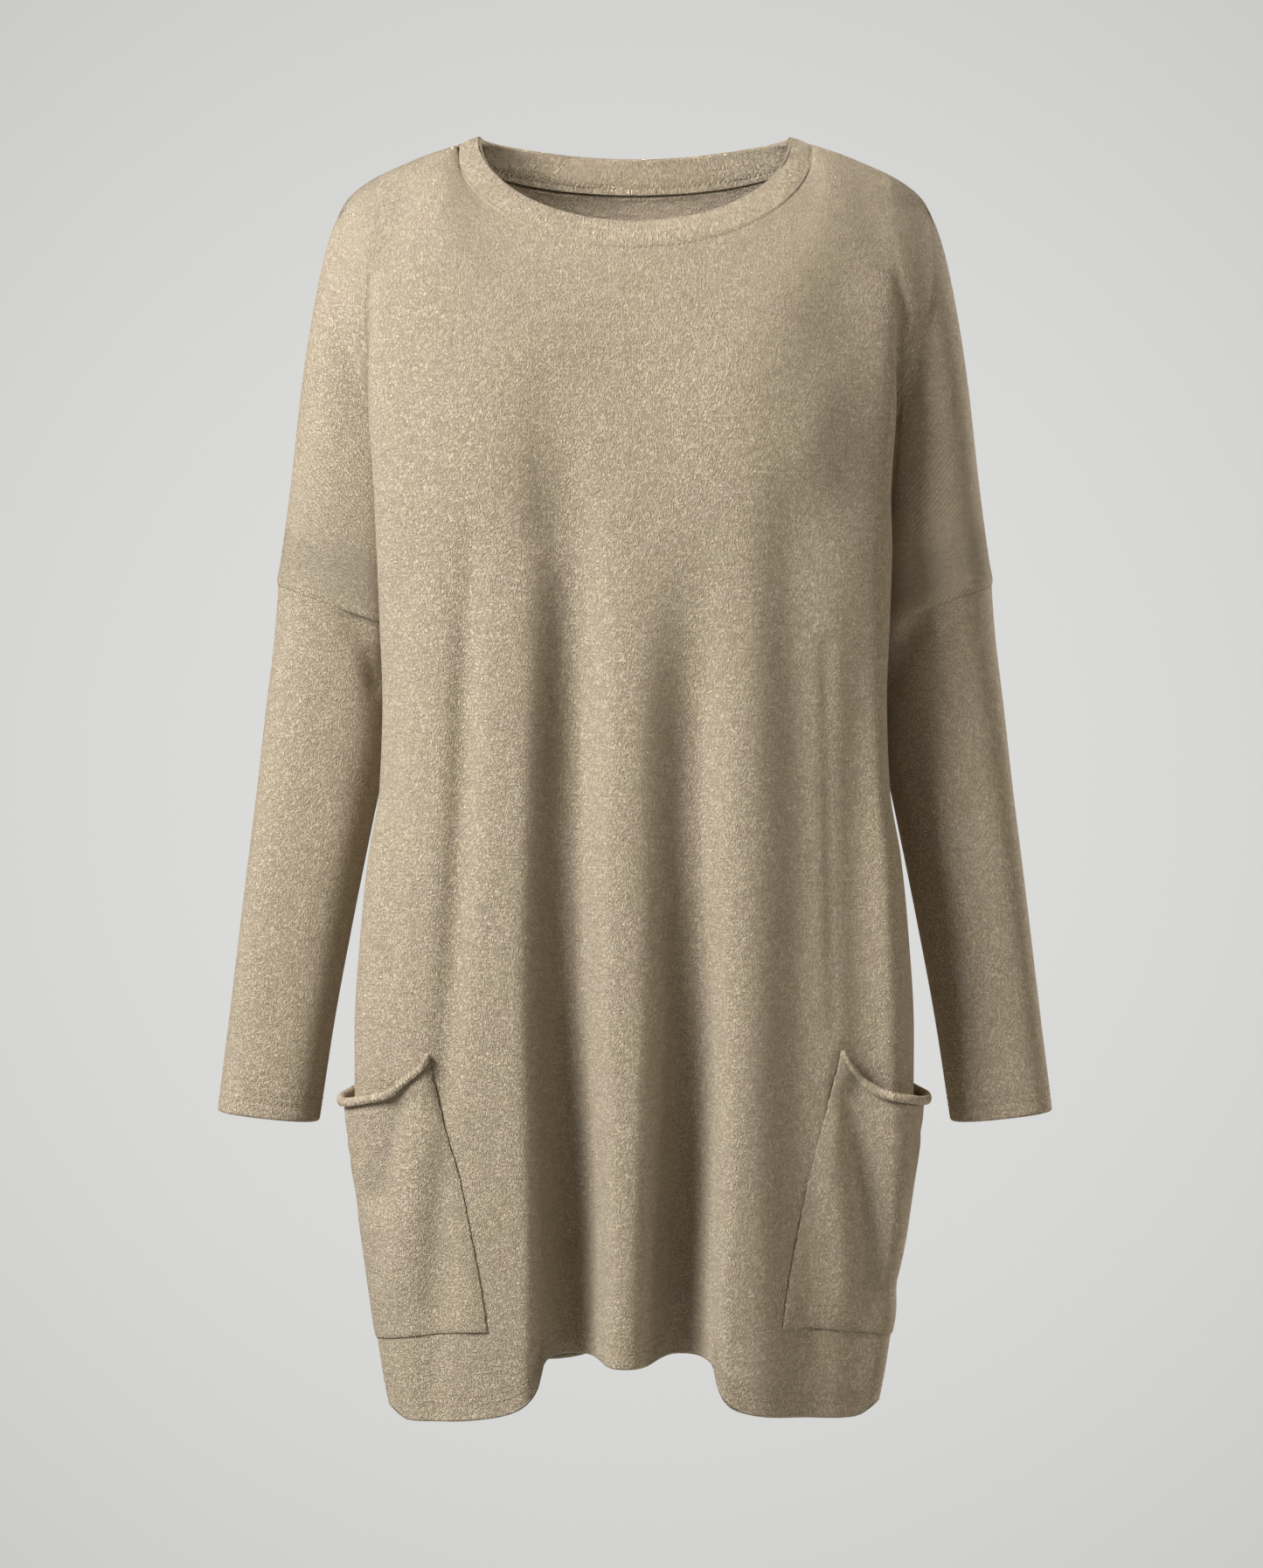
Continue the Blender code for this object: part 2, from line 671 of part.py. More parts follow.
def place_key(point):
    return tuple(np.round(point * PLACES_PER_METRE).astype(int))


def shared_normals(skins):
    """Normal at every place, over all the faces that meet there, so that edges at a seam stay parallel."""
    normals = {}
    for skin in skins:
        for quad, face in zip(skin.quads, face_normals(skin)):
            for i in quad:
                if i not in skin.apart:
                    key = place_key(skin.points[i])
                    normals[key] = normals.get(key, np.zeros(3)) + face
    for key, value in normals.items():
        normals[key] = value / np.linalg.norm(value)
    facing = {}
    for skin in skins:
        for quad, face in zip(skin.quads, face_normals(skin)):
            for i in quad:
                if i not in skin.apart:
                    key = place_key(skin.points[i])
                    facing.setdefault(key, []).append(float(np.dot(normals[key], face)))
    return {key: (value, float(np.mean(facing[key]))) for key, value in normals.items()}


def face_normals(skin):
    """Unit normal of each quad of a skin."""
    found = []
    for quad in skin.quads:
        corners = [skin.points[i] for i in quad]
        face = np.cross(corners[2] - corners[0], corners[3] - corners[1])
        found.append(face / np.linalg.norm(face))
    return found


def inward_steps(skin, normals, thickness):
    """From each point of a skin to the inner face, longer on a sharp bend so that the wall keeps its width."""
    faces = face_normals(skin)
    around = [[] for _ in skin.points]
    for quad, face in zip(skin.quads, faces):
        for i in quad:
            around[i].append(face)
    steps = []
    for i, point in enumerate(skin.points):
        normal, facing = normals[place_key(point)]
        if i in skin.apart:
            normal = np.mean(around[i], axis=0)
            normal /= np.linalg.norm(normal)
            facing = 1.0
        if i in skin.pits:
            normal = np.array([0.0, 0.0, -1.0])
            facing = 1.0
        steps.append(-normal * thickness / max(facing, LEAST_FACING))
    return steps


def border_edges(skin):
    """Edges with one face, in the direction in which that face runs along them."""
    seen = {}
    for number, quad in enumerate(skin.quads):
        for a, b in zip(quad, quad[1:] + quad[:1]):
            seen[(a, b)] = number
    return {edge: number for edge, number in seen.items() if (edge[1], edge[0]) not in seen}


def seam_shift(skin):
    """Draws the seam edges of a skin back by half of the gap, along the cloth."""
    faces = face_normals(skin)
    pulls = {}
    for (a, b), number in border_edges(skin).items():
        if a in skin.free and b in skin.free:
            continue
        along = skin.points[b] - skin.points[a]
        pull = np.cross(faces[number], along)
        pull /= np.linalg.norm(pull)
        pulls.setdefault(a, []).append(pull)
        pulls.setdefault(b, []).append(pull)
    shift = [np.zeros(3) for _ in skin.points]
    for i, found in pulls.items():
        total = np.sum(found, axis=0)
        size = np.linalg.norm(total)
        facing = max(LEAST_SEAM_FACING, size / len(found))
        shift[i] = total / size * (SEAM_GAP * METRES / 2) / facing
    return shift


def make_wall(skin, normals, thickness, material):
    """One closed wall of cloth from a skin: outer face, inner face and the narrow faces between them."""
    steps = inward_steps(skin, normals, thickness * METRES)
    shift = seam_shift(skin)
    outer = [point + move for point, move in zip(skin.points, shift)]
    inner = [point + step for point, step in zip(outer, steps)]
    count = len(outer)
    faces = []
    for a, b, c, d in skin.quads:
        faces += [(a, b, c), (a, c, d)]
        faces += [(a + count, c + count, b + count), (a + count, d + count, c + count)]
    for a, b in border_edges(skin):
        if place_key(skin.points[a]) < place_key(skin.points[b]):
            faces += [(b, a, b + count), (a, a + count, b + count)]
        else:
            faces += [(b, a, a + count), (b, a + count, b + count)]
    mesh = bpy.data.meshes.new(skin.name)
    mesh.from_pydata([tuple(point) for point in outer + inner], [], faces)
    mesh.validate()
    mesh.shade_smooth()
    mesh.materials.append(material)
    made = bpy.data.objects.new(skin.name, mesh)
    bpy.context.scene.collection.objects.link(made)
    return made


def cloth_material(name, colour):
    material = bpy.data.materials.new(name)
    material.use_nodes = True
    shader = material.node_tree.nodes["Principled BSDF"]
    shader.inputs["Base Color"].default_value = (*colour, 1.0)
    shader.inputs["Roughness"].default_value = CLOTH_ROUGHNESS
    return material


def pocket_skin(name, half, panel, normals):
    """A patch made from the points of the front, moved out, its mouth hanging open and lower."""
    skin = Skin(name)
    first = NECK_COLUMNS
    columns = BODY_HALF - first
    start_row = UPPER_ROWS + WAIST_ROWS
    for step in range(columns + 1):
        j = HALF_COLUMNS + half * (first + step)
        line = [panel.index[(start_row + i, j)] for i in range(POCKET_ROWS + 1)]
        points = np.array([panel.points[i] for i in line])
        outward = np.array([normals[place_key(panel.points[i])][0] for i in line])
        across = step / columns
        gape = math.sin(math.pi * across) ** GAPE_POWER
        stands = math.sin(math.pi * across**BAG_SKEW) ** STAND_POWER
        side = float(ease((across - SIDE_BAG_STARTS) / SIDE_BAG_RUN))
        power = BAG_POWER + (SIDE_BAG_POWER - BAG_POWER) * side
        length = points[0][2] - points[-1][2]
        sag = RIM_SAG * METRES * gape / length
        for i in range(POCKET_ROWS + 1):
            place = i + sag * POCKET_ROWS * max(0.0, 1 - i / SAG_ROWS)
            low = min(int(place), POCKET_ROWS - 1)
            part = place - low
            point = points[low] * (1 - part) + points[low + 1] * part
            normal = outward[low] * (1 - part) + outward[low + 1] * part
            bag = RIM_STANDS_OFF * stands * (1 - i / POCKET_ROWS) ** power
            skin.add((i, step), point + normal * (WALL + POCKET_GAP + bag) * METRES)
    for i in range(POCKET_ROWS):
        for k in range(columns):
            skin.quad(((i, k + 1), (i + 1, k + 1), (i + 1, k), (i, k)), half < 0)
    skin.free = set(range(len(skin.points)))
    return skin


def turn_to_space(skin):
    skin.points = [to_space(point) for point in skin.points]


def build():
    for found in list(bpy.data.objects):
        bpy.data.objects.remove(found)
    front = panel_skin("front", FRONT, True)
    back = panel_skin("back", BACK, False)
    sleeves = [
        sleeve_skin("sleeve_left", 1, front, back),
        sleeve_skin("sleeve_right", -1, front, back),
    ]
    band = band_skin("neckband", front, back)
    skins = [front, back, *sleeves, band]
    for skin in skins:
        turn_to_space(skin)
    normals = shared_normals(skins)
    for skin in skins:
        make_wall(skin, normals, WALL, cloth_material(skin.name, CLOTH_COLOUR))
    for name, half in (("pocket_left", 1), ("pocket_right", -1)):
        pocket = pocket_skin(name, half, front, normals)
        make_wall(pocket, shared_normals([pocket]), WALL, cloth_material(name, POCKET_COLOUR))


build()
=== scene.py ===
# %% [markdown]
# A long knit sweater, worn shape with nobody in it
#
# The real thing is cut from a soft brushed jersey knit: a front and a back with the shoulders grown on,
# two sleeves set in half way down the upper arm, a folded band round the neck and two patch pockets
# whose mouths roll over. This lesson dresses the packed model: every solid of the frame gives way to a
# thin shell of cloth on the same form, with finer folds, hems, seams, stitches and a knit finish.

# %% Load the frame
import math

import bpy
import numpy as np
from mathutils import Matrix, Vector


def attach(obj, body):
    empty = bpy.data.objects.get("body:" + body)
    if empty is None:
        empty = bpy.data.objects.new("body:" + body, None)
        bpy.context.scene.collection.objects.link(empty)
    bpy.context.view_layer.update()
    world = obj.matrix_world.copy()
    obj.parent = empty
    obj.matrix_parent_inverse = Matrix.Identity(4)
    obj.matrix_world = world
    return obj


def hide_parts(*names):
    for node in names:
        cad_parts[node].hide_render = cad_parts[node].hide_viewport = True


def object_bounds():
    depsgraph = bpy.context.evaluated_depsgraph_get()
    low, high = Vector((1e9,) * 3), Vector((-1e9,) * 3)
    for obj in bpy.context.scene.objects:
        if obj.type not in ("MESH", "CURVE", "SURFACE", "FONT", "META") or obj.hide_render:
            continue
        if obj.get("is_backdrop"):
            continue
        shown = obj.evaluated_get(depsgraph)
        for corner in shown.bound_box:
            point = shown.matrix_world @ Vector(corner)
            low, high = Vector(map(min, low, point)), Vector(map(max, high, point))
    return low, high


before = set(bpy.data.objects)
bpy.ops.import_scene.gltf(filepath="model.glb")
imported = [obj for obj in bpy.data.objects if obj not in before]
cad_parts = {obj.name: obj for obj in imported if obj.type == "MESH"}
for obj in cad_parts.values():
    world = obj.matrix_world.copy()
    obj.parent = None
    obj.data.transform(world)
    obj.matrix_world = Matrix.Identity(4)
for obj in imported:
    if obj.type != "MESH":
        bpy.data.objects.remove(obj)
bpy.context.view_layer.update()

# %% [markdown]
# How the cloth is described
#
# A worn garment is easiest to write down as sections. At each level below the top of the neckband a
# row of a table gives a few sizes, and smooth curves run through the rows, so a few rows give the whole
# form and the same sizes can be sampled as finely as the render needs. A spline would do it too, but it
# can swing past its points; this curve never does, so a seam stays where its row says. Sizes are in
# millimetres, and "down" is the drop below the top of the neckband at the shoulder.

# %% Tables and curves
def table(head, *rows):
    """Named columns of a table whose rows are sections, folds or points along an edge."""
    columns = np.array(rows, dtype=float).T
    return dict(zip(head.split(), columns))


def curve(xs, ys, at):
    """Smooth curve through the points of a table that never overshoots them, flat beyond its ends."""
    steps = np.diff(xs)
    rises = np.diff(ys) / steps
    slopes = np.zeros(len(xs))
    for i in range(1, len(xs) - 1):
        before, after = rises[i - 1], rises[i]
        if before * after > 0:
            near = 2 * steps[i] + steps[i - 1]
            far = steps[i] + 2 * steps[i - 1]
            slopes[i] = (near + far) / (near / before + far / after)
    slopes[0] = rises[0]
    slopes[-1] = rises[-1]
    at = np.clip(np.asarray(at, dtype=float), xs[0], xs[-1])
    i = np.clip(np.searchsorted(xs, at, side="right") - 1, 0, len(xs) - 2)
    run = (at - xs[i]) / steps[i]
    value = ys[i] * (1 + 2 * run) * (1 - run) ** 2 + ys[i + 1] * run**2 * (3 - 2 * run)
    return value + steps[i] * (slopes[i] * run * (1 - run) ** 2 - slopes[i + 1] * run**2 * (1 - run))


def read(rows, name, at, by="down"):
    """Value of one column of a table at a level between its rows."""
    return curve(rows[by], rows[name], at)


def short(values, digits=1):
    """A few numbers rounded for printing."""
    return [round(float(value), digits) for value in values]


example = table("down width", (0, 10), (50, 20), (100, 20))
print("width half way down the first step:", read(example, "width", 25))

# %% [markdown]
# Blending
#
# Cloth has no corners where one form ends and the next begins. Three small tools soften every change
# here: a mix of two values, an ease that starts and stops gently, and a cubic curve with two handles,
# the same kind as Blender's own curve objects, worked out in numbers so that it can be sampled at will.

# %% Mix, ease and a curve with handles
def ease(value):
    """Goes from 0 to 1 and starts and stops gently."""
    value = np.clip(value, 0.0, 1.0)
    return value * value * (3 - 2 * value)


def mix(a, b, share):
    """A value between a and b, at a share of the way."""
    return a + (b - a) * share


def bezier(points, v):
    """Points of a cubic curve, each control point a pair of arrays."""
    weights = ((1 - v) ** 3, 3 * v * (1 - v) ** 2, 3 * v * v * (1 - v), v**3)
    x = sum(w * p[0] for w, p in zip(weights, points))
    y = sum(w * p[1] for w, p in zip(weights, points))
    return x, y


print("half way through an ease:", ease(0.5), "and a mix of 10 and 20:", mix(10, 20, ease(0.5)))

# %% [markdown]
# The sections of front and back
#
# At each level the front turns into a soft fold at each side. A row says where that turn is (the
# crest), how far forward the middle of the panel stands, and where the fold ends (the tuck), which below
# the arms is the side seam. The body is narrow at the waist and widest at the pockets.

# %% Front and back tables
FRONT = table(
    "down crest_x crest_y middle_y tuck_x tuck_y",
    (0, 160, -50, -72, 176, -30),
    (80, 167, -60, -88, 177, -38),
    (120, 171, -62, -99, 175, -42),
    (176, 173, -62, -110, 170, -41),
    (230, 170, -60, -118, 164, -36),
    (280, 167.5, -58, -122, 157, -20),
    (330, 165.5, -56, -125, 150, 14),
    (373, 164, -54, -126, 147, 14),
    (431, 166, -52, -127, 150, 14),
    (477, 173.5, -50, -127, 155, 14),
    (520, 178, -50, -126, 159, 14),
    (593, 182.5, -48, -124, 165, 14),
    (650, 182.5, -46, -122, 167, 14),
    (709, 177.5, -45, -119, 165, 14),
    (756, 171.8, -44, -116, 161, 14),
    (802, 166, -44, -112, 156, 14),
    (845, 158, -44, -109, 150, 14),
)
BACK = table(
    "down crest_x crest_y middle_y tuck_x tuck_y",
    (0, 158, 52, 58, 176, 46),
    (80, 164, 70, 88, 177, 56),
    (120, 166, 74, 97, 174, 56),
    (176, 165, 75, 104, 168, 52),
    (230, 162, 73, 105, 161, 42),
    (280, 160, 70, 104, 154, 28),
    (330, 158, 68, 102, 150, 14),
    (373, 157, 66, 100, 147, 14),
    (431, 159, 64, 98, 150, 14),
    (477, 163, 62, 97, 155, 14),
    (520, 167, 61, 97, 159, 14),
    (593, 172, 60, 98, 165, 14),
    (650, 174, 59, 98, 167, 14),
    (709, 171, 57, 97, 165, 14),
    (756, 167, 55, 96, 161, 14),
    (802, 161, 53, 93, 156, 14),
    (845, 153, 52, 91, 150, 14),
)
widest = FRONT["down"][np.argmax(FRONT["crest_x"])]
print("the body is widest", widest, "mm down, where it measures", 2 * FRONT["crest_x"].max(), "mm across")

# %% [markdown]
# Upper arm and shoulder
#
# The shoulders are grown on, so each panel goes on over the upper arm down to the armhole. Two more
# tables give the outline of that arm and the line of the shoulder seam, where front and back meet.

# %% Arm and shoulder tables
SEAM_Y = 14.0
UNDERARM_DOWN = 330.0
ARM = table(
    "down outer_x middle_x front_y back_y",
    (48, 197, 168, -42, 62),
    (60, 202, 170, -43, 64),
    (83, 208.5, 173, -44, 65),
    (118, 215, 177, -44, 65),
    (164, 221.5, 181, -42, 64),
    (234, 229.5, 180, -40, 63),
    (280, 235.5, 180, -38, 62),
    (330, 241, 181, -36, 61),
)
SHOULDER = table(
    "x down y",
    (118, 4, 8),
    (138, 10.2, 9.5),
    (154, 16.5, 11),
    (168, 22.5, 12),
    (179, 28.5, 13),
    (187, 34.5, 13.5),
    (193, 41, 14),
    (197, 48, 14),
)
print("shoulder seam from", SHOULDER["x"][0], "to", SHOULDER["x"][-1], "mm beside the middle")

# %% [markdown]
# Long folds
#
# Cloth that hangs loose from the bust falls in long folds. A fold here is a line down the panel that
# the cloth sinks in along, soft across its width and deeper towards the hem. A cloth simulation could
# make folds too, but never these ones in these places, so they are given one by one. A slow sway keeps
# the lines from looking ruled.

# %% Folds
FRONT_FOLDS = table(
    "starts top_x hem_x waist_depth hem_depth left right squareness",
    (200, -99, -131, 10, 4, 7, 7, 2.0),
    (140, -42, -40.5, 29, 50, 15.5, 14, 3.0),
    (235, 39, 32, 23, 47, 17, 14, 3.0),
    (120, 101, 112, 15, 20, 15, 28, 2.0),
    (240, 145, 153, 15, 14, 13, 10, 2.4),
)
BACK_FOLDS = table(
    "starts top_x hem_x waist_depth hem_depth left right squareness",
    (310, -98, -106, 10, 16, 15, 17, 2.2),
    (270, -38, -46, 16, 27, 17, 14, 2.5),
    (340, 24, 19, 11, 20, 13, 16, 2.2),
    (290, 86, 90, 14, 24, 17, 15, 2.5),
)
FRONT_WAIST = 430.0
BACK_WAIST = 520.0
HEM_LEVEL = 820.0
HEM_GROWTH = 300.0
FOLD_SWAY = 1.8
SWAY_DROP = 62.0
SWAY_SHIFT = 2.3
FOLD_RUN_MOST = 1.1


def fold_depth(folds, waist, x, down):
    """How far the folds of a panel sink in at a place."""
    total = np.zeros_like(x)
    for i in range(len(folds["starts"])):
        start = folds["starts"][i]
        run = np.clip((down - start) / (HEM_LEVEL - start), 0.0, FOLD_RUN_MOST)
        line = mix(folds["top_x"][i], folds["hem_x"][i], run)
        line = line + FOLD_SWAY * np.sin(down / SWAY_DROP + SWAY_SHIFT * i)
        grown = folds["waist_depth"][i] * ease((down - start) / (waist - start))
        later = (folds["hem_depth"][i] - folds["waist_depth"][i]) * ease((down - waist) / HEM_GROWTH)
        width = np.where(x < line, folds["left"][i], folds["right"][i])
        power = mix(2.0, folds["squareness"][i], run)
        total += (grown + later) * np.exp(-0.5 * (np.abs(x - line) / width) ** power)
    return total


hem_x = np.linspace(-160, 160, 321)
hem_folds = fold_depth(FRONT_FOLDS, FRONT_WAIST, hem_x, np.full_like(hem_x, HEM_LEVEL))
print("deepest fold at the hem:", round(float(hem_folds.max()), 1), "mm, at x", hem_x[np.argmax(hem_folds)])

# %% [markdown]
# Chest
#
# A general figure holds the front off in two broad, low swellings. The panel could be shrink-wrapped on
# a body, but here two bells of height are added to it, so the form stays that of cloth over a chest.

# %% Chest form
CHEST = table(
    "x down stands_off spread_x spread_down",
    (-86, 190, 14, 36, 58),
    (80, 190, 14, 36, 58),
)


def chest_form(x, down):
    """How far the chest holds the front off at a place."""
    total = np.zeros_like(x)
    for i in range(len(CHEST["x"])):
        across = (x - CHEST["x"][i]) / CHEST["spread_x"][i]
        below = (down - CHEST["down"][i]) / CHEST["spread_down"][i]
        total += CHEST["stands_off"][i] * np.exp(-0.5 * (across**2 + below**2))
    return total


print("the chest holds the cloth off by", short([chest_form(CHEST["x"][1], CHEST["down"][1])]), "mm")

# %% [markdown]
# The body part of a section
#
# Going outward from the centre line, a section crosses the body up to the crest of the side fold. Its
# bow is a power curve, flatter in the middle and fuller towards the sides than an ellipse, which is how
# a wide panel hangs. The front hangs a little further back on the wearer's left, as the real one does.

# %% Body part
BODY_POWER = 2.35
EDGE_POWER = 8
LEAN = table(
    "down back",
    (60, 0.0),
    (160, 5.0),
    (240, 9.0),
    (430, 9.0),
    (600, 17.0),
    (845, 22.0),
)


def crest_at(rows, half, down):
    """The edge of a side fold. On the wearer's left the front hangs further back."""
    lean = np.where((rows is FRONT) & (half > 0), curve(LEAN["down"], LEAN["back"], down), 0.0)
    return read(rows, "crest_x", down), read(rows, "crest_y", down) + lean


def body_part(rows, front, share, down):
    """Panel between its two side folds, at a signed share of the half width."""
    crest_x, crest_y = crest_at(rows, share, down)
    middle_y = read(rows, "middle_y", down)
    x = crest_x * share
    size = np.clip(np.abs(share), 0.0, 1.0)
    bow = (1 - size**BODY_POWER) ** (1 / BODY_POWER)
    inside = 1 - size**EDGE_POWER
    if front:
        folds = fold_depth(FRONT_FOLDS, FRONT_WAIST, x, down) * inside
    else:
        folds = fold_depth(BACK_FOLDS, BACK_WAIST, x, down) * inside
    y = mix(crest_y, middle_y, bow)
    if front:
        return x, y + folds - chest_form(x, down) * inside
    return x, y - folds


print("middle of the front 600 mm down:", short(body_part(FRONT, True, 0.0, 600.0)))

# %% [markdown]
# The side fold
#
# From its crest the cloth turns back down the flank of the fold to the tuck. An arc would be too stiff
# for cloth, so this is one curve with two handles. The tuck closes over the last drop above the
# underarm, where fold and side seam become one.

# %% Side fold
FLANK_HANDLE = 0.4
TUCK_HALF = 7.0
CLOSING_STARTS = 240.0


def closing_at(down):
    """How far the tuck has closed, from 0 higher up to 1 at the underarm."""
    return ease((down - CLOSING_STARTS) / (UNDERARM_DOWN - CLOSING_STARTS))


def flank_part(rows, half, run, down):
    """From the edge of the side fold back to the bottom of the tuck, or to the side seam lower down."""
    crest = crest_at(rows, half, down)
    tuck = (read(rows, "tuck_x", down), read(rows, "tuck_y", down))
    closing = closing_at(down)
    depth = tuck[1] - crest[1]
    second = (crest[0], crest[1] + FLANK_HANDLE * depth)
    third = (tuck[0] - TUCK_HALF * (1 - closing), tuck[1] - FLANK_HANDLE * depth * closing)
    return bezier((crest, second, third, tuck), run)


print("half way down the flank:", short(flank_part(FRONT, 1.0, 0.5, 300.0)))

# %% [markdown]
# Round the upper arm
#
# Above the underarm the section goes on out of the tuck, over the front of the arm and round to the
# seam line on its outside. The near half is a curve with handles, the far half a slightly flattened
# quarter of an ellipse, because empty cloth over an arm is never quite round.

# %% Upper arm
ARM_HANDLE = 0.95
ARM_POWER = 2.4
PIT_SWING = 9.0


def squared(swing):
    """A sine or cosine pressed outward, for a section that is a little flatter than an ellipse."""
    return np.sign(swing) * np.abs(swing) ** (2 / ARM_POWER)


def arm_part(rows, front, run, down):
    """From the bottom of the tuck round the upper arm to the seam along its outside."""
    outward = -1.0 if front else 1.0
    tuck = (read(rows, "tuck_x", down), read(rows, "tuck_y", down))
    middle = (read(ARM, "middle_x", down), read(ARM, "front_y" if front else "back_y", down))
    outer_x = read(ARM, "outer_x", down)
    second = (tuck[0] + TUCK_HALF, tuck[1] + outward * PIT_SWING * closing_at(down))
    third = (middle[0] - ARM_HANDLE * (middle[0] - tuck[0]), middle[1])
    near = bezier((tuck, second, third, middle), np.clip(run * 2, 0, 1))
    turn = np.clip(run * 2 - 1, 0, 1) * math.pi / 2
    far_x = middle[0] + (outer_x - middle[0]) * squared(np.sin(turn))
    far_y = SEAM_Y + (middle[1] - SEAM_Y) * squared(np.cos(turn))
    return np.where(run < 0.5, near[0], far_x), np.where(run < 0.5, near[1], far_y)


print("front of the arm:", short(arm_part(FRONT, True, 0.5, 250.0)))

# %% [markdown]
# Columns that follow the pocket
#
# The grid of a panel is easiest to sew on to when one of its columns runs along the slanted edge of
# the pocket. So the columns lean over with that edge, and the cloth between them shares out the change.

# %% Slanted columns
POCKET_TOP_SHARE = 0.745
POCKET_EDGE = table(
    "down share",
    (480, 0.745),
    (560, 0.734),
    (601, 0.718),
    (666, 0.632),
    (716, 0.588),
    (757, 0.562),
    (789, 0.552),
    (830, 0.550),
)


def slid_share(share, down):
    """Columns lean over so that one of them runs along the slanted edge of the pocket."""
    edge = read(POCKET_EDGE, "share", down)
    inner = share * edge / POCKET_TOP_SHARE
    outer = edge + (share - POCKET_TOP_SHARE) * (1 - edge) / (1 - POCKET_TOP_SHARE)
    return np.where(share < POCKET_TOP_SHARE, inner, outer)


pocket_foot = float(slid_share(POCKET_TOP_SHARE, POCKET_EDGE["down"][-1]))
print("the pocket's column ends at", round(pocket_foot, 3), "of the half width")

# %% [markdown]
# A whole section
#
# The three parts could be three meshes, but joins inside one cloth would show. So a place on a section
# is one number that runs over all of them: up to 1 on the body, up to 2 on the flank, up to 3 on the
# arm, and negative on the wearer's right.

# %% Section with its side fold
def folded_point(rows, front, place, down):
    """A point of a level section with its side fold."""
    half = np.where(place < 0, -1.0, 1.0)
    size = np.abs(place)
    body = body_part(rows, front, half * slid_share(np.minimum(size, 1), down), down)
    flank = flank_part(rows, half, np.clip(size - 1, 0, 1), down)
    arm = arm_part(rows, front, np.clip(size - 2, 0, 1), down)
    x = np.where(size <= 1, half * body[0], np.where(size <= 2, flank[0], arm[0]))
    y = np.where(size <= 1, body[1], np.where(size <= 2, flank[1], arm[1]))
    return x, y


print("place 1.5 at 400 mm:", short(folded_point(FRONT, True, np.array(1.5), 400.0)))

# %% [markdown]
# Near the shoulder
#
# No side fold has formed yet where the cloth still lies on the shoulder. There the section is one smooth
# bow from side to side, and lower down it gives way to the folded one.

# %% Smooth yoke
YOKE_POWER = 2.3
LEAST_FLANK = 6.0


def yoke_point(rows, front, size, down):
    """A point of the smooth section near the shoulder, where no side fold has formed yet."""
    crest_x = read(rows, "crest_x", down)
    tuck_x = np.maximum(read(rows, "tuck_x", down), crest_x + LEAST_FLANK)
    outer_x = read(ARM, "outer_x", down)
    flank_x = mix(crest_x, tuck_x, np.clip(size - 1, 0, 1))
    arm_x = mix(tuck_x, outer_x, np.sin(np.clip(size - 2, 0, 1) * math.pi / 2))
    x = np.where(size <= 1, crest_x * size, np.where(size <= 2, flank_x, arm_x))
    bow = (1 - np.clip(x / outer_x, 0, 1) ** YOKE_POWER) ** (1 / YOKE_POWER)
    y = mix(SEAM_Y, read(rows, "middle_y", down), bow)
    if front:
        y = y - chest_form(x, down) * (1 - np.clip(size, 0, 1) ** EDGE_POWER)
    return x, y


FOLD_STARTS = 70.0
FOLD_FULL = 190.0


def formed_point(rows, front, place, down):
    """Smooth near the shoulder and folded lower down."""
    folded = folded_point(rows, front, place, down)
    smooth = yoke_point(rows, front, np.abs(place), down)
    share = ease((down - FOLD_STARTS) / (FOLD_FULL - FOLD_STARTS))
    return mix(smooth[0], folded[0], share), mix(smooth[1], folded[1], share)


print("side folds form between", FOLD_STARTS, "and", FOLD_FULL, "mm down")

# %% [markdown]
# The grid of a panel
#
# A panel is a grid of rows and columns. Its top row follows the neckline and the shoulder seam, its
# columns fan out from there, and its last rows follow the pocket mouth, the pocket bottom and the hem,
# so that everything sewn on the panel finds a row or a column to lie along. The columns here are the
# same as in the solid, with FINER of them for each one.

# %% Columns
FINER = 4
NECK_COLUMNS = 11
SHOULDER_COLUMNS = 5
FLANK_COLUMNS = 4
ARM_COLUMNS = 8
SPACING_LEVEL = 400.0
SPACING_STEPS = 400


def even_shares(count, first, last):
    """Shares between two places that are evenly spaced along the cloth of a middle section."""
    share = np.linspace(first, last, SPACING_STEPS)
    x, y = body_part(FRONT, False, share, np.full_like(share, SPACING_LEVEL))
    lengths = np.concatenate([[0.0], np.cumsum(np.hypot(np.diff(x), np.diff(y)))])
    return np.interp(np.linspace(0, lengths[-1], count + 1), lengths, share)


inner_places = np.linspace(0, POCKET_TOP_SHARE, NECK_COLUMNS + 1)
outer_places = even_shares(SHOULDER_COLUMNS, POCKET_TOP_SHARE, 1.0)
flank_places = 1 + np.linspace(0, 1, FLANK_COLUMNS + 1)
arm_places = 2 + np.linspace(0, 1, ARM_COLUMNS + 1)
PLACES = np.concatenate([inner_places, outer_places[1:], flank_places[1:], arm_places[1:]])
HALF_COLUMNS = len(PLACES) - 1
BODY_HALF = HALF_COLUMNS - ARM_COLUMNS
FINE_COLUMNS = np.arange(-HALF_COLUMNS * FINER, HALF_COLUMNS * FINER + 1) / FINER
print(len(FINE_COLUMNS), "columns from arm to arm")

# %% [markdown]
# Neckline and shoulder seam
#
# The top edge runs round the neckline and then along the shoulder seam. The neckline is an arc, deep in
# front and shallow behind. Even steps across would stretch the cells where it climbs to the shoulder,
# so its columns are a blend of even steps across and even steps of angle.

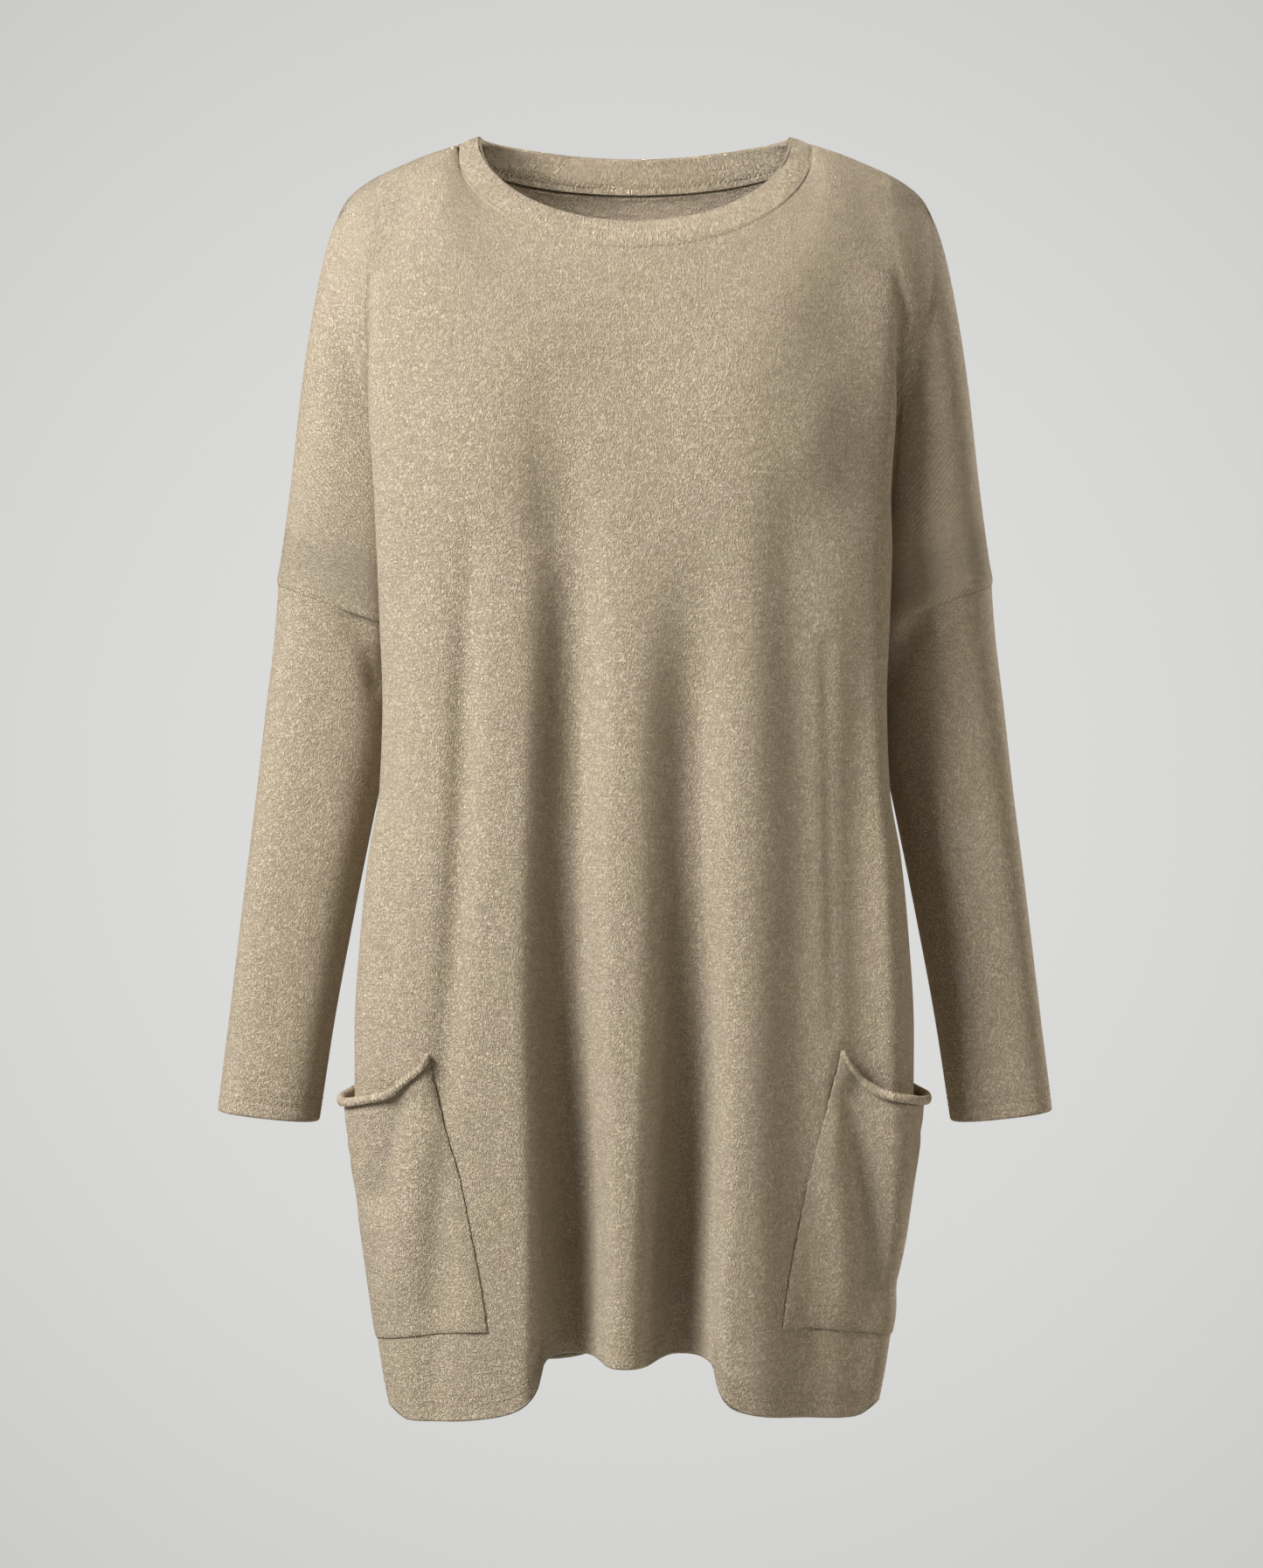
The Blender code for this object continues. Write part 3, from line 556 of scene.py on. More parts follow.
# %% Top edge
NECK_Y = 8.0
NECK_ROUND = 0.85
NECK_EVEN = 0.3
SEAM_HALF = 118.0
SEAM_SHOULDER_DOWN = 4.0
SEAM_FRONT = {"y": -86.0, "down": 81.0}
SEAM_BACK = {"y": 70.0, "down": 26.5}
SHOULDER_CROWDING = 0.82


def top_edge(front, column):
    """Where a column starts: along the neckline, then along the shoulder seam."""
    seam = SEAM_FRONT if front else SEAM_BACK
    run = np.clip(column / NECK_COLUMNS, 0, 1)
    across = NECK_EVEN * run + (1 - NECK_EVEN) * np.sin(run * math.pi / 2)
    turn = np.sqrt(np.maximum(0.0, 1 - across * across))
    neck = (
        SEAM_HALF * across,
        NECK_Y + (seam["y"] - NECK_Y) * turn**NECK_ROUND,
        SEAM_SHOULDER_DOWN + (seam["down"] - SEAM_SHOULDER_DOWN) * turn,
    )
    steps = np.hypot(np.diff(SHOULDER["x"]), np.diff(SHOULDER["down"]))
    lengths = np.concatenate([[0.0], np.cumsum(steps)])
    part = np.clip((column - NECK_COLUMNS) / (HALF_COLUMNS - NECK_COLUMNS), 0, 1)
    along = lengths[-1] * part**SHOULDER_CROWDING
    shoulder = [curve(lengths, SHOULDER[name], along) for name in ("x", "y", "down")]
    return [np.where(column <= NECK_COLUMNS, a, b) for a, b in zip(neck, shoulder)]


print("the neckline drops to", float(top_edge(True, 0.0)[2]), "mm in front")
print("and to", float(top_edge(False, 0.0)[2]), "mm behind")

# %% [markdown]
# From the shoulder to the underarm
#
# Near the shoulder seam the cloth rounds over from the seam to its full depth. That rounding, the slide
# that leads each column to its start and the level section below are blended over a short drop. The
# last row is the slanted armhole seam.

# %% Upper part
ARCH_POWER = 0.56
BODY_ARCH_DROP = 96.0
ARM_ARCH_DROP = 75.0
SLIDE_DROP = 120.0
LEAD_DROP = 70.0
ARMHOLE_SLOPE = 0.36
ARMHOLE_OUTER_X = 238.5
ARMHOLE_OUTER_DOWN = 298.0
ARMHOLE_MIDDLE_DOWN = 316.0


def arched(y, x, down, drop):
    """Rounds the panel over from the shoulder line to its full depth."""
    beyond = np.clip(x, SHOULDER["x"][0], SHOULDER["x"][-1])
    seam_y = curve(SHOULDER["x"], SHOULDER["y"], beyond)
    level = curve(SHOULDER["x"], SHOULDER["down"], beyond)
    below = np.clip((down - level) / drop, 0.0, 1.0)
    return mix(seam_y, y, (1 - (1 - below) ** 2) ** ARCH_POWER)


def upper_part(rows, front, column, run):
    """Points of the panel above the underarm: run goes from 0 at the top edge to 1 at the armhole."""
    half = np.where(column < 0, -1.0, 1.0)
    size = np.abs(column)
    place = np.interp(size, np.arange(len(PLACES)), PLACES)
    top_x, top_y, top_down = top_edge(front, size)
    edge_x = arm_part(rows, front, np.clip(place - 2, 0, 1), np.full_like(place, ARMHOLE_MIDDLE_DOWN))[0]
    slanted = ARMHOLE_OUTER_DOWN + ARMHOLE_SLOPE * (ARMHOLE_OUTER_X - edge_x)
    bottom = np.where(place > 2, np.minimum(slanted, UNDERARM_DOWN), UNDERARM_DOWN)
    down = top_down + (bottom - top_down) * run
    here = formed_point(rows, front, place * half, down)
    start = formed_point(rows, front, place * half, top_down)
    x = here[0] + (top_x - start[0]) * (1 - ease((down - top_down) / SLIDE_DROP))
    drop = mix(BODY_ARCH_DROP, ARM_ARCH_DROP, np.maximum(place - 1, 0) / 2)
    lead = top_y - arched(start[1], top_x, top_down, drop)
    y = arched(here[1], x, down, drop) + lead * (1 - ease((down - top_down) / LEAD_DROP))
    return np.stack([half * x, y, down], axis=-1)


pit = upper_part(FRONT, True, np.array([float(BODY_HALF)]), 1.0)[0]
print("underarm at", short(pit))

# %% [markdown]
# The hem line
#
# The hem isn't level: the deep folds lift it in the middle, and it hangs lowest under the two broad
# lobes at the sides. Each panel has a table of its hem, so the silhouette at the bottom is that of the
# real cloth and not a straight cut.

# %% Hem tables
FRONT_HEM = table(
    "x down",
    (-158, 833),
    (-147, 839),
    (-116, 837),
    (-88, 833),
    (-72, 827.5),
    (-64, 821.5),
    (-59, 813.5),
    (-56.5, 803),
    (-52, 798.5),
    (-34, 797.5),
    (-26, 797.5),
    (-16, 801),
    (6, 801.5),
    (17, 799),
    (26, 797.5),
    (40, 798),
    (47, 800.5),
    (50, 812),
    (54, 821),
    (62, 827.5),
    (74, 831.5),
    (90, 834.5),
    (115, 838),
    (144, 840),
    (158, 833),
)
BACK_HEM = table(
    "x down",
    (-154, 830),
    (-110, 829),
    (-55, 820),
    (0, 814),
    (55, 820),
    (110, 829),
    (154, 830),
)
print("front hem between", FRONT_HEM["down"].min(), "and", FRONT_HEM["down"].max(), "mm down")

# %% [markdown]
# From the underarm to the hem
#
# Below the underarm the rows are nearly level and spread between four lines that every column passes:
# underarm, pocket mouth, pocket bottom and hem. Level rows all the way would be simpler, but then the
# pockets and the hem would cut across the cells.

# %% Lower part
POCKET_TOP_DOWN = 601.0
POCKET_BOTTOM_DOWN = 778.0
POCKET_SIDE_TOP = 612.0
POCKET_SIDE_BOTTOM = 793.0
BOTTOM_RISE = 3.0
HEM_WIDTH_LEVEL = 835.0
SIDE_HEM_DOWN = 830.0
HEM_DEPTH = 19.0
LEAST_FREE = 7.0


def level_lines(front, column):
    """Levels that a column passes: underarm, pocket mouth, pocket bottom, hem."""
    half = np.where(column < 0, -1.0, 1.0)
    place = np.minimum(np.interp(np.abs(column), np.arange(len(PLACES)), PLACES), 2.0)
    across = np.clip((place - POCKET_TOP_SHARE) / (2.0 - POCKET_TOP_SHARE), 0, 1)
    mouth = mix(POCKET_TOP_DOWN, POCKET_SIDE_TOP, across)
    bottom = mix(POCKET_BOTTOM_DOWN, POCKET_SIDE_BOTTOM, ease(across * BOTTOM_RISE))
    hem_rows = FRONT_HEM if front else BACK_HEM
    share = slid_share(np.minimum(place, 1.0), np.full_like(place, HEM_LEVEL))
    x = half * share * read(FRONT if front else BACK, "crest_x", HEM_WIDTH_LEVEL)
    hem = curve(hem_rows["x"], hem_rows["down"], x)
    hem = mix(hem, SIDE_HEM_DOWN, ease(place - 1))
    bottom = np.minimum(bottom, hem - HEM_DEPTH - LEAST_FREE)
    return np.full_like(mouth, UNDERARM_DOWN), mouth, bottom, hem


def lower_part(rows, front, column, down):
    """Points of the panel below the underarm, at given drops."""
    half = np.where(column < 0, -1.0, 1.0)
    place = np.interp(np.abs(column), np.arange(len(PLACES)), PLACES)
    x, y = folded_point(rows, front, place * half, down)
    return np.stack([half * x, y, down], axis=-1)


print("levels at the centre:", short(level_lines(True, np.array(0.0))))

# %% [markdown]
# Ironing
#
# Where the neckline turns into the shoulder seam the columns bend sharply, and that corner would run
# down the panel as a ridge. A few passes of averaging across the columns iron it out, only there, and
# leave the seam itself alone.

# %% Iron the neck corners
IRON_PASSES = 36
IRON_STARTS = 14
IRON_ENDS = 50
IRON_FADE = 28
IRON_COLUMNS = 6.0


def ironed(grid):
    """Evens out the ridge that the corner between neckline and shoulder would leave down the panel."""
    near = np.exp(-(((np.abs(FINE_COLUMNS) - NECK_COLUMNS) / IRON_COLUMNS) ** 4))
    rows = np.arange(grid.shape[0])
    share = ease(rows / IRON_STARTS) * ease((IRON_ENDS - rows) / IRON_FADE)
    weight = (share[:, None] * near[None, :])[..., None][:, 1:-1]
    for _ in range(IRON_PASSES):
        between = (grid[:, :-2] + 2 * grid[:, 1:-1] + grid[:, 2:]) / 4
        grid[:, 1:-1] += weight * (between - grid[:, 1:-1])
    return grid


print(IRON_PASSES, "passes over rows", IRON_STARTS, "to", IRON_ENDS)

# %% [markdown]
# Front and back as grids
#
# Rows are close together where something small happens, at the neckline and at the hem, and further
# apart between. The cells below the armholes are left out, because the panels end there.

# %% Panel grids
TOP_FINE_ROWS = 10
TOP_FINE_SHARE = 0.03
UPPER_ROWS = 70
ROW_CROWDING = 1.2
WAIST_ROWS = 66
POCKET_ROWS = 44
HEM_FREE_ROWS = 9
HEM_FINE_ROWS = 13


def row_levels(front):
    """Drops of the rows below the underarm, one row of the array each."""
    underarm, mouth, bottom, hem = level_lines(front, FINE_COLUMNS)
    levels = [mix(underarm, mouth, i / WAIST_ROWS) for i in range(1, WAIST_ROWS + 1)]
    levels += [mix(mouth, bottom, i / POCKET_ROWS) for i in range(1, POCKET_ROWS + 1)]
    levels += [mix(bottom, hem - HEM_DEPTH, i / HEM_FREE_ROWS) for i in range(1, HEM_FREE_ROWS + 1)]
    levels += [hem - HEM_DEPTH * (1 - i / HEM_FINE_ROWS) for i in range(1, HEM_FINE_ROWS + 1)]
    return np.array(levels)


def all_cells(points):
    """Keeps every cell of a grid."""
    return np.ones((points.shape[0] - 1, points.shape[1] - 1), dtype=bool)


def panel_grid(rows, front):
    """Table points of a panel, row by row, with the cells below the armholes left out."""
    fine = np.linspace(0, TOP_FINE_SHARE, TOP_FINE_ROWS + 1)
    rest = np.arange(1, UPPER_ROWS - TOP_FINE_ROWS + 1) / (UPPER_ROWS - TOP_FINE_ROWS)
    run = np.concatenate([fine, mix(TOP_FINE_SHARE, 1.0, rest**ROW_CROWDING)])
    column, run = np.broadcast_arrays(FINE_COLUMNS[None, :], run[:, None])
    upper = upper_part(rows, front, column, run)
    down = row_levels(front)
    lower = lower_part(rows, front, np.broadcast_to(FINE_COLUMNS, down.shape), down)
    grid = ironed(np.concatenate([upper, lower]))
    keep = all_cells(grid)
    arm = ARM_COLUMNS * FINER
    keep[UPPER_ROWS:, :arm] = False
    keep[UPPER_ROWS:, -arm:] = False
    return grid, keep


front_grid, front_keep = panel_grid(FRONT, True)
back_grid, back_keep = panel_grid(BACK, False)
print("panel grid", front_grid.shape[:2])

# %% [markdown]
# From the tables to space
#
# Blender measures in metres with z up. The tables measure in millimetres and downwards, so every grid
# is turned round once here. The normal of a grid point comes from the rows and columns around it, and
# everything small from now on, a crease, a hem or a stitch, moves the cloth along that normal.

# %% Space and normals
METRES = 0.001
ORIGIN_DOWN = 7.0


def to_space(points):
    """From table points, with their drop, to metres with up positive."""
    return np.stack([points[..., 0], points[..., 1], ORIGIN_DOWN - points[..., 2]], axis=-1) * METRES


TINY = 1e-15


def grid_normals(points, outward):
    """Unit normal at each point of a grid, from the rows and columns around it."""
    down_rows = np.gradient(points, axis=0)
    across = np.gradient(points, axis=1)
    normal = np.cross(across, down_rows) * outward
    return normal / np.maximum(np.linalg.norm(normal, axis=-1, keepdims=True), TINY)


print("lowest point of the front:", round(float(to_space(front_grid)[..., 2].min()), 4), "m")

# %% [markdown]
# Finer creases
#
# Between the long folds the knit shows small soft hollows and ridges. Each row of a crease table is a
# short line on the panel with a depth and a width: a trough if the depth is positive, a ridge if it is
# negative. Sculpting would give the same by hand; a table can be read again and changed by one number.

# %% Creases
FRONT_CREASES = table(
    "x1 down1 x2 down2 depth width",
    (-60, 178, -57, 262, 4.0, 15),
    (140, 112, 84, 204, 3.0, 17),
    (152, 150, 146, 236, 6.0, 20),
    (122, 340, 127, 585, 1.6, 3.2),
    (-150, 300, -158, 560, 1.4, 4.5),
    (-84, 120, -60, 150, -1.5, 18),
    (-150, 634, -164, 690, 4.5, 7),
    (-131, 650, -151, 752, -3.6, 9),
    (-118, 680, -122, 760, 2.2, 9),
    (136, 628, 160, 754, 6.0, 8),
    (122, 660, 136, 760, -1.8, 8),
)
BACK_CREASES = table(
    "x1 down1 x2 down2 depth width",
    (-120, 150, -60, 260, 2.0, 20),
    (118, 140, 64, 270, 2.2, 21),
    (-100, 330, -20, 380, 1.6, 16),
    (30, 420, 100, 372, 1.5, 16),
)


def crease_depth(creases, across, down):
    """Sum of the creases at each place of two coordinate arrays in millimetres."""
    total = np.zeros_like(across)
    for x1, down1, x2, down2, depth, width in zip(*creases.values()):
        run_x, run_down = x2 - x1, down2 - down1
        along = ((across - x1) * run_x + (down - down1) * run_down) / (run_x**2 + run_down**2)
        near = np.clip(along, 0, 1)
        off = np.hypot(across - x1 - near * run_x, down - down1 - near * run_down)
        total += depth * np.exp(-0.5 * (off / width) ** 2)
    return total


def creased(grid, creases, outward):
    """Points of a panel in space, sunk in or raised along its creases."""
    points = to_space(grid)
    depth = crease_depth(creases, grid[..., 0], grid[..., 2])[..., None] * METRES
    return points - grid_normals(points, outward) * depth


FRONT_OUTWARD = -1.0
BACK_OUTWARD = 1.0
front_points = creased(front_grid, FRONT_CREASES, FRONT_OUTWARD)
back_points = creased(back_grid, BACK_CREASES, BACK_OUTWARD)
print(len(FRONT_CREASES["x1"]) + len(BACK_CREASES["x1"]), "creases on front and back")

# %% [markdown]
# Faces, normals and edges
#
# A grid becomes a mesh when its kept cells are listed as faces. Two neighbours run along their common
# edge in opposite directions, so an edge without a partner the other way round is on the rim of the
# cloth. Blender's own mesh editing tools could tell as well, but only once the mesh is made.

# %% Cells to faces
def quads_of(keep):
    """Corner numbers of the kept cells of a grid."""
    rows, columns = keep.shape
    first = (np.arange(rows)[:, None] * (columns + 1) + np.arange(columns)[None, :])[keep]
    return np.stack([first, first + 1, first + columns + 2, first + columns + 1], axis=-1)


def vertex_normals(points, quads):
    """Unit normals of the points and of the faces."""
    face = np.cross(points[quads[:, 2]] - points[quads[:, 0]], points[quads[:, 3]] - points[quads[:, 1]])
    face /= np.maximum(np.linalg.norm(face, axis=1, keepdims=True), TINY)
    total = np.zeros_like(points)
    for corner in range(4):
        np.add.at(total, quads[:, corner], face)
    return total / np.maximum(np.linalg.norm(total, axis=1, keepdims=True), TINY), face


def border_of(quads):
    """Edges that belong to one face only, as it runs along them, and the number of that face."""
    starts = quads.ravel()
    ends = np.roll(quads, -1, axis=1).ravel()
    owner = np.repeat(np.arange(len(quads)), 4)
    size = int(quads.max()) + 1
    paired = np.isin(starts * size + ends, ends * size + starts)
    return np.stack([starts[~paired], ends[~paired]], axis=-1), owner[~paired]


front_cells = quads_of(front_keep)
print("the front has", len(front_cells), "cells and", len(border_of(front_cells)[0]), "rim edges")

# %% [markdown]
# Places on the flat cloth
#
# The grain of a knit belongs to the cloth and bends with it. So every point carries its place on the
# flat piece, in metres across and down, and the knit finish reads that place in the way another finish
# would read texture coordinates. An unwrap would do, but these lengths come straight from the grid.

# %% Places and objects
def cloth_places(points, level_row=0):
    """Place of each grid point on the flat cloth, in metres across and down from a row that is level."""
    across = np.linalg.norm(np.diff(points, axis=1), axis=-1)
    across = np.concatenate([np.zeros((points.shape[0], 1)), np.cumsum(across, axis=1)], axis=1)
    across -= across[:, points.shape[1] // 2][:, None]
    down = np.linalg.norm(np.diff(points, axis=0), axis=-1)
    down = np.concatenate([np.zeros((1, points.shape[1])), np.cumsum(down, axis=0)])
    down -= (down[level_row] + points[level_row, :, 2])[None, :]
    return np.stack([across, down, np.zeros_like(down)], axis=-1)


def cloth_object(name, points, quads, places):
    """A smooth mesh whose points carry their place on the cloth."""
    mesh = bpy.data.meshes.new(name)
    mesh.from_pydata(points.tolist(), [], quads.tolist())
    mesh.shade_smooth()
    layer = mesh.attributes.new("cloth_place", "FLOAT_VECTOR", "POINT")
    layer.data.foreach_set("vector", places.astype(np.float32).ravel())
    made = bpy.data.objects.new(name, mesh)
    bpy.context.scene.collection.objects.link(made)
    print(name, len(quads) * 2, "triangles")
    return made


front_places = cloth_places(front_points)
print("the front is", round(float(np.ptp(front_places[..., 0])), 3), "m wide along the cloth")

# %% [markdown]
# From a grid to a piece of cloth
#
# A single sheet of faces would look like paper at the hem. A Solidify modifier gives thickness with
# square rims; here the wall is made in code, so that every edge can be rounded over as a folded hem or
# a seam is, and so that the hem can be thicker inside. Where two pieces are sewn together, their round
# edges meet and leave the fine groove that a seam shows on the outside.

# %% Rounded rims
RIM_STEPS = 4
LEAST_FACING = 0.5


def rim_pull(flat, quads, faces):
    """Rim edges, the points on them, and the direction that leads out of the cloth at each point."""
    border, owner = border_of(quads)
    edge = flat[border[:, 1]] - flat[border[:, 0]]
    away = np.cross(edge, faces[owner])
    away /= np.maximum(np.linalg.norm(away, axis=1, keepdims=True), TINY)
    pull = np.zeros_like(flat)
    met = np.zeros(len(flat))
    for end in range(2):
        np.add.at(pull, border[:, end], away)
        np.add.at(met, border[:, end], 1)
    size = np.maximum(np.linalg.norm(pull, axis=1), TINY)
    facing = np.maximum(size / np.maximum(met, 1), LEAST_FACING)
    return border, np.flatnonzero(met), pull / size[:, None] / facing[:, None]


def rim_rings(outer, inner, normals, pull, half):
    """Rows of points round a rim, from the outer face of the cloth to its inner face."""
    rings = []
    for step in range(1, RIM_STEPS):
        angle = math.pi * step / RIM_STEPS
        round_out = normals * math.cos(angle) + pull * math.sin(angle)
        rings.append((outer + inner) / 2 + round_out * half)
    return rings


print("each rim is rounded in", RIM_STEPS, "steps")

# %% [markdown]
# The closed wall
#
# The wall has an outer face, an inner face one thickness below it, and the rounded rim between them.
# "reach" draws an edge out past its line, to tuck it under the next piece, and "straight" keeps the
# grain of a narrow strip from slanting where its two edges differ in length.

# %% Cloth wall
def cloth_wall(name, points, keep, thickness, outward, reach=0.0, level_row=0, straight=False):
    """A closed wall of cloth whose outer face is the grid, with every edge rounded over."""
    place = cloth_places(points, level_row)
    if straight:
        place[..., 0] = place[..., 0].mean(axis=0)
    place = place.reshape(-1, 3)
    flat = points.reshape(-1, 3)
    thick = (np.broadcast_to(thickness, points.shape[:2]) * METRES).reshape(-1, 1)
    reach = (np.broadcast_to(reach, points.shape[:2]) * METRES).reshape(-1, 1)
    quads = quads_of(keep)
    if outward < 0:
        quads = quads[:, ::-1]
    normals, faces = vertex_normals(flat, quads)
    border, rim, pull = rim_pull(flat, quads, faces)
    half = thick / 2
    outer = flat.copy()
    outer[rim] -= pull[rim] * (half[rim] - reach[rim])
    inner = outer - normals * thick
    used = np.zeros(len(flat), dtype=bool)
    used[quads.ravel()] = True
    number = np.cumsum(used) - 1
    count = int(used.sum())
    order = np.full(len(flat), -1)
    order[rim] = np.arange(len(rim))
    rings = [outer[used], inner[used]]
    rings += rim_rings(outer[rim], inner[rim], normals[rim], pull[rim], half[rim])
    across_rim = np.array([0.0, 0.0, math.pi / 2]) * thick
    places = [place[used], (place + across_rim)[used]]
    levels = [number[border]]
    for step in range(1, RIM_STEPS):
        places.append(place[rim] + across_rim[rim] * step / RIM_STEPS)
        levels.append(2 * count + (step - 1) * len(rim) + order[border])
    levels.append(number[border] + count)
    made = [number[quads], number[quads][:, ::-1] + count]
    for above, below in zip(levels, levels[1:]):
        made.append(np.stack([above[:, 1], above[:, 0], below[:, 0], below[:, 1]], axis=-1))
    return cloth_object(name, np.concatenate(rings), np.concatenate(made), np.concatenate(places))


CLOTH_THICK = 1.6
print("the cloth is", CLOTH_THICK, "mm thick")

# %% [markdown]
# The turned hem
#
# The hem of both panels is turned up once and stitched twice. Outside, the turned edge shows as a
# slightly fuller band with two fine channels where the thread pulls the cloth in. Inside it is a step.

# %% Hem
HEM_THICK = 3.0
HEM_TURN = 16.0
STEP_SOFT = 1.6
STITCH_LINES = (10.5, 15.5)
CHANNEL_DEPTH = 0.35
CHANNEL_WIDTH = 1.1


def hem_distance(grid):
    """Drop from each point of a panel to its hem, in millimetres."""
    return grid[-1:, :, 2] - grid[..., 2]


def hem_thickness(above):
    """Double cloth below the line where the hem's turning ends, single above it."""
    return mix(HEM_THICK, CLOTH_THICK, ease((above - HEM_TURN) / STEP_SOFT + 0.5))


def stitch_channels(above):
    """Depth of the two channels that the hem stitches draw in."""
    total = np.zeros_like(above)
    for line in STITCH_LINES:
        total += CHANNEL_DEPTH * np.exp(-(((above - line) / CHANNEL_WIDTH) ** 2))
    return total


def hemmed(points, above, outward):
    """Points drawn in along the two stitch rows of a hem."""
    return points - grid_normals(points, outward) * stitch_channels(above)[..., None] * METRES


front_above = hem_distance(front_grid)
back_above = hem_distance(back_grid)
front_points = hemmed(front_points, front_above, FRONT_OUTWARD)
back_points = hemmed(back_points, back_above, BACK_OUTWARD)
print("hem turned up", HEM_TURN, "mm, stitched", STITCH_LINES, "mm above the edge")

# %% [markdown]
# Seams at the armhole and the neck
#
# The grown-on sleeve swells a little just above the seam that the sleeve is sewn to. Below the neckband
# the seam allowance shows as a low ridge, held down by a row of stitches in a fine groove. Both are
# about a millimetre high or less, and yet they are what tells the eye that the piece is sewn.

# %% Puffed armhole
PUFF = 1.2
PUFF_REACH = 4.5
PUFF_COLUMNS = 1.5


def seam_puff(grid):
    """How far the grown-on sleeve swells just above the armhole seam."""
    above = grid[UPPER_ROWS, :, 2][None, :] - grid[..., 2]
    share = ease((np.abs(FINE_COLUMNS) - BODY_HALF) / PUFF_COLUMNS)[None, :] * (above > 0)
    above = np.maximum(above, 0) / PUFF_REACH
    return PUFF * share * above * np.exp(1 - above)


print("the armhole swells by", round(float(seam_puff(front_grid).max()), 2), "mm")

# %% [markdown]
# The stitched neckline
#
# The distance from the neckline is measured down each column of the cloth, so the ridge and the groove
# keep their place all the way round. Behind, where the cloth lies steeper, they are weaker.

# %% Neck stitching
NECK_LINE = 4.2
NECK_GROOVE = 0.75
NECK_GROOVE_WIDTH = 1.1
NECK_RIDGE = 0.55
NECK_RIDGE_AT = 2.0
NECK_RIDGE_WIDTH = 1.3
BACK_NECK_SHARE = 0.4
NECK_FADE = 0.6


def column_lengths(points):
    """Length of cloth from the top edge down each column, in millimetres."""
    steps = np.linalg.norm(np.diff(points, axis=0), axis=-1) / METRES
    return np.concatenate([np.zeros((1, points.shape[1])), np.cumsum(steps, axis=0)])


def neck_stitching(points):
    """Height of the ridge and the groove below the neckband."""
    share = ease((NECK_COLUMNS - np.abs(FINE_COLUMNS)) / NECK_FADE)[None, :]
    below = column_lengths(points)
    groove = NECK_GROOVE * np.exp(-(((below - NECK_LINE) / NECK_GROOVE_WIDTH) ** 2))
    ridge = NECK_RIDGE * np.exp(-(((below - NECK_RIDGE_AT) / NECK_RIDGE_WIDTH) ** 2))
    return share * (ridge - groove)


front_lift = seam_puff(front_grid) + neck_stitching(front_points)
back_lift = seam_puff(back_grid) + neck_stitching(back_points) * BACK_NECK_SHARE
front_points += grid_normals(front_points, FRONT_OUTWARD) * front_lift[..., None] * METRES
back_points += grid_normals(back_points, BACK_OUTWARD) * back_lift[..., None] * METRES
print("front lifted by", round(float(front_lift.min()), 2), "to", round(float(front_lift.max()), 2), "mm")

# %% [markdown]
# Front and back
#
# Both panels are walls on their grids. Their neckline reaches a little under the neckband, and most at
# the two shoulder corners, where the band turns over the seam and a gap would show.

# %% Front and back shells
SEAM_REACH = 0.08
NECK_REACH = 0.85
CORNER_REACH = 2.0
panel_reach = np.full(front_points.shape[:2], SEAM_REACH)
neck_start = (HALF_COLUMNS - NECK_COLUMNS) * FINER
panel_reach[0, neck_start:-neck_start] = NECK_REACH
panel_reach[0, neck_start - 1 : neck_start + 2] = CORNER_REACH
panel_reach[0, -neck_start - 2 : -neck_start + 1] = CORNER_REACH


def panel_shell(name, points, keep, above, outward):
    """The wall of a whole panel, with its hem and its neckline."""
    return cloth_wall(name, points, keep, hem_thickness(above), outward, panel_reach, UPPER_ROWS)


front = panel_shell("front_cloth", front_points, front_keep, front_above, FRONT_OUTWARD)
back = panel_shell("back_cloth", back_points, back_keep, back_above, BACK_OUTWARD)
print("front", short(front.dimensions, 3))
print("back", short(back.dimensions, 3))

# %% [markdown]
# Sleeves
#
# A sleeve is one piece sewn shut along the underarm. Its first ring is the armhole that the two panels
# leave, and it changes within a short way to a plain oval that tapers to the cuff. The grid starts and
# ends at the underarm, where the seam is, so it needs no wrap.

# %% Sleeve ovals
SLEEVE = table(
    "along outer_x outer_down inner_x inner_down front_y back_y",
    (0.0, 237.5, 298, 150, 330, -36, 62),
    (0.1, 240.5, 330, 153, 358, -32, 61),
    (0.25, 246, 376, 161, 402, -27.5, 58),
    (0.4, 251.5, 428, 172, 449, -26, 54),
    (0.6, 260, 500, 186.5, 517, -25, 48),
    (0.8, 268.5, 573, 199.5, 585, -24.5, 44),
    (1.0, 277.4, 645.5, 210, 653, -24, 42),
)


def oval(half, along, turn):
    """Point of the plain oval sleeve at a share of its length and a turn from its outer side."""
    value = {name: read(SLEEVE, name, along, "along") for name in SLEEVE if name != "along"}
    swing = squared(np.cos(turn))
    rise = squared(np.sin(turn))
    x = (value["outer_x"] + value["inner_x"]) / 2 + (value["outer_x"] - value["inner_x"]) / 2 * swing
    down = (value["outer_down"] + value["inner_down"]) / 2
    down = down + (value["outer_down"] - value["inner_down"]) / 2 * swing
    y = (value["front_y"] + value["back_y"]) / 2 - (value["back_y"] - value["front_y"]) / 2 * rise
    return np.stack([half * x, y, down], axis=-1)


print("outer side of the left cuff:", short(oval(1.0, 1.0, 0.0)))

# %% [markdown]
# From the armhole to the cuff
#
# The ring is read from the last row of both panels, so sleeve and armhole fit exactly. The rows are
# closer at the cuff, which is turned up and stitched like the hem.

# %% Sleeve grid
SLEEVE_BLEND = 0.18
SLEEVE_ROWS = 84
CUFF_DEPTH = 19.0
CUFF_FINE_ROWS = 13
SLEEVE_LENGTH = 352.0


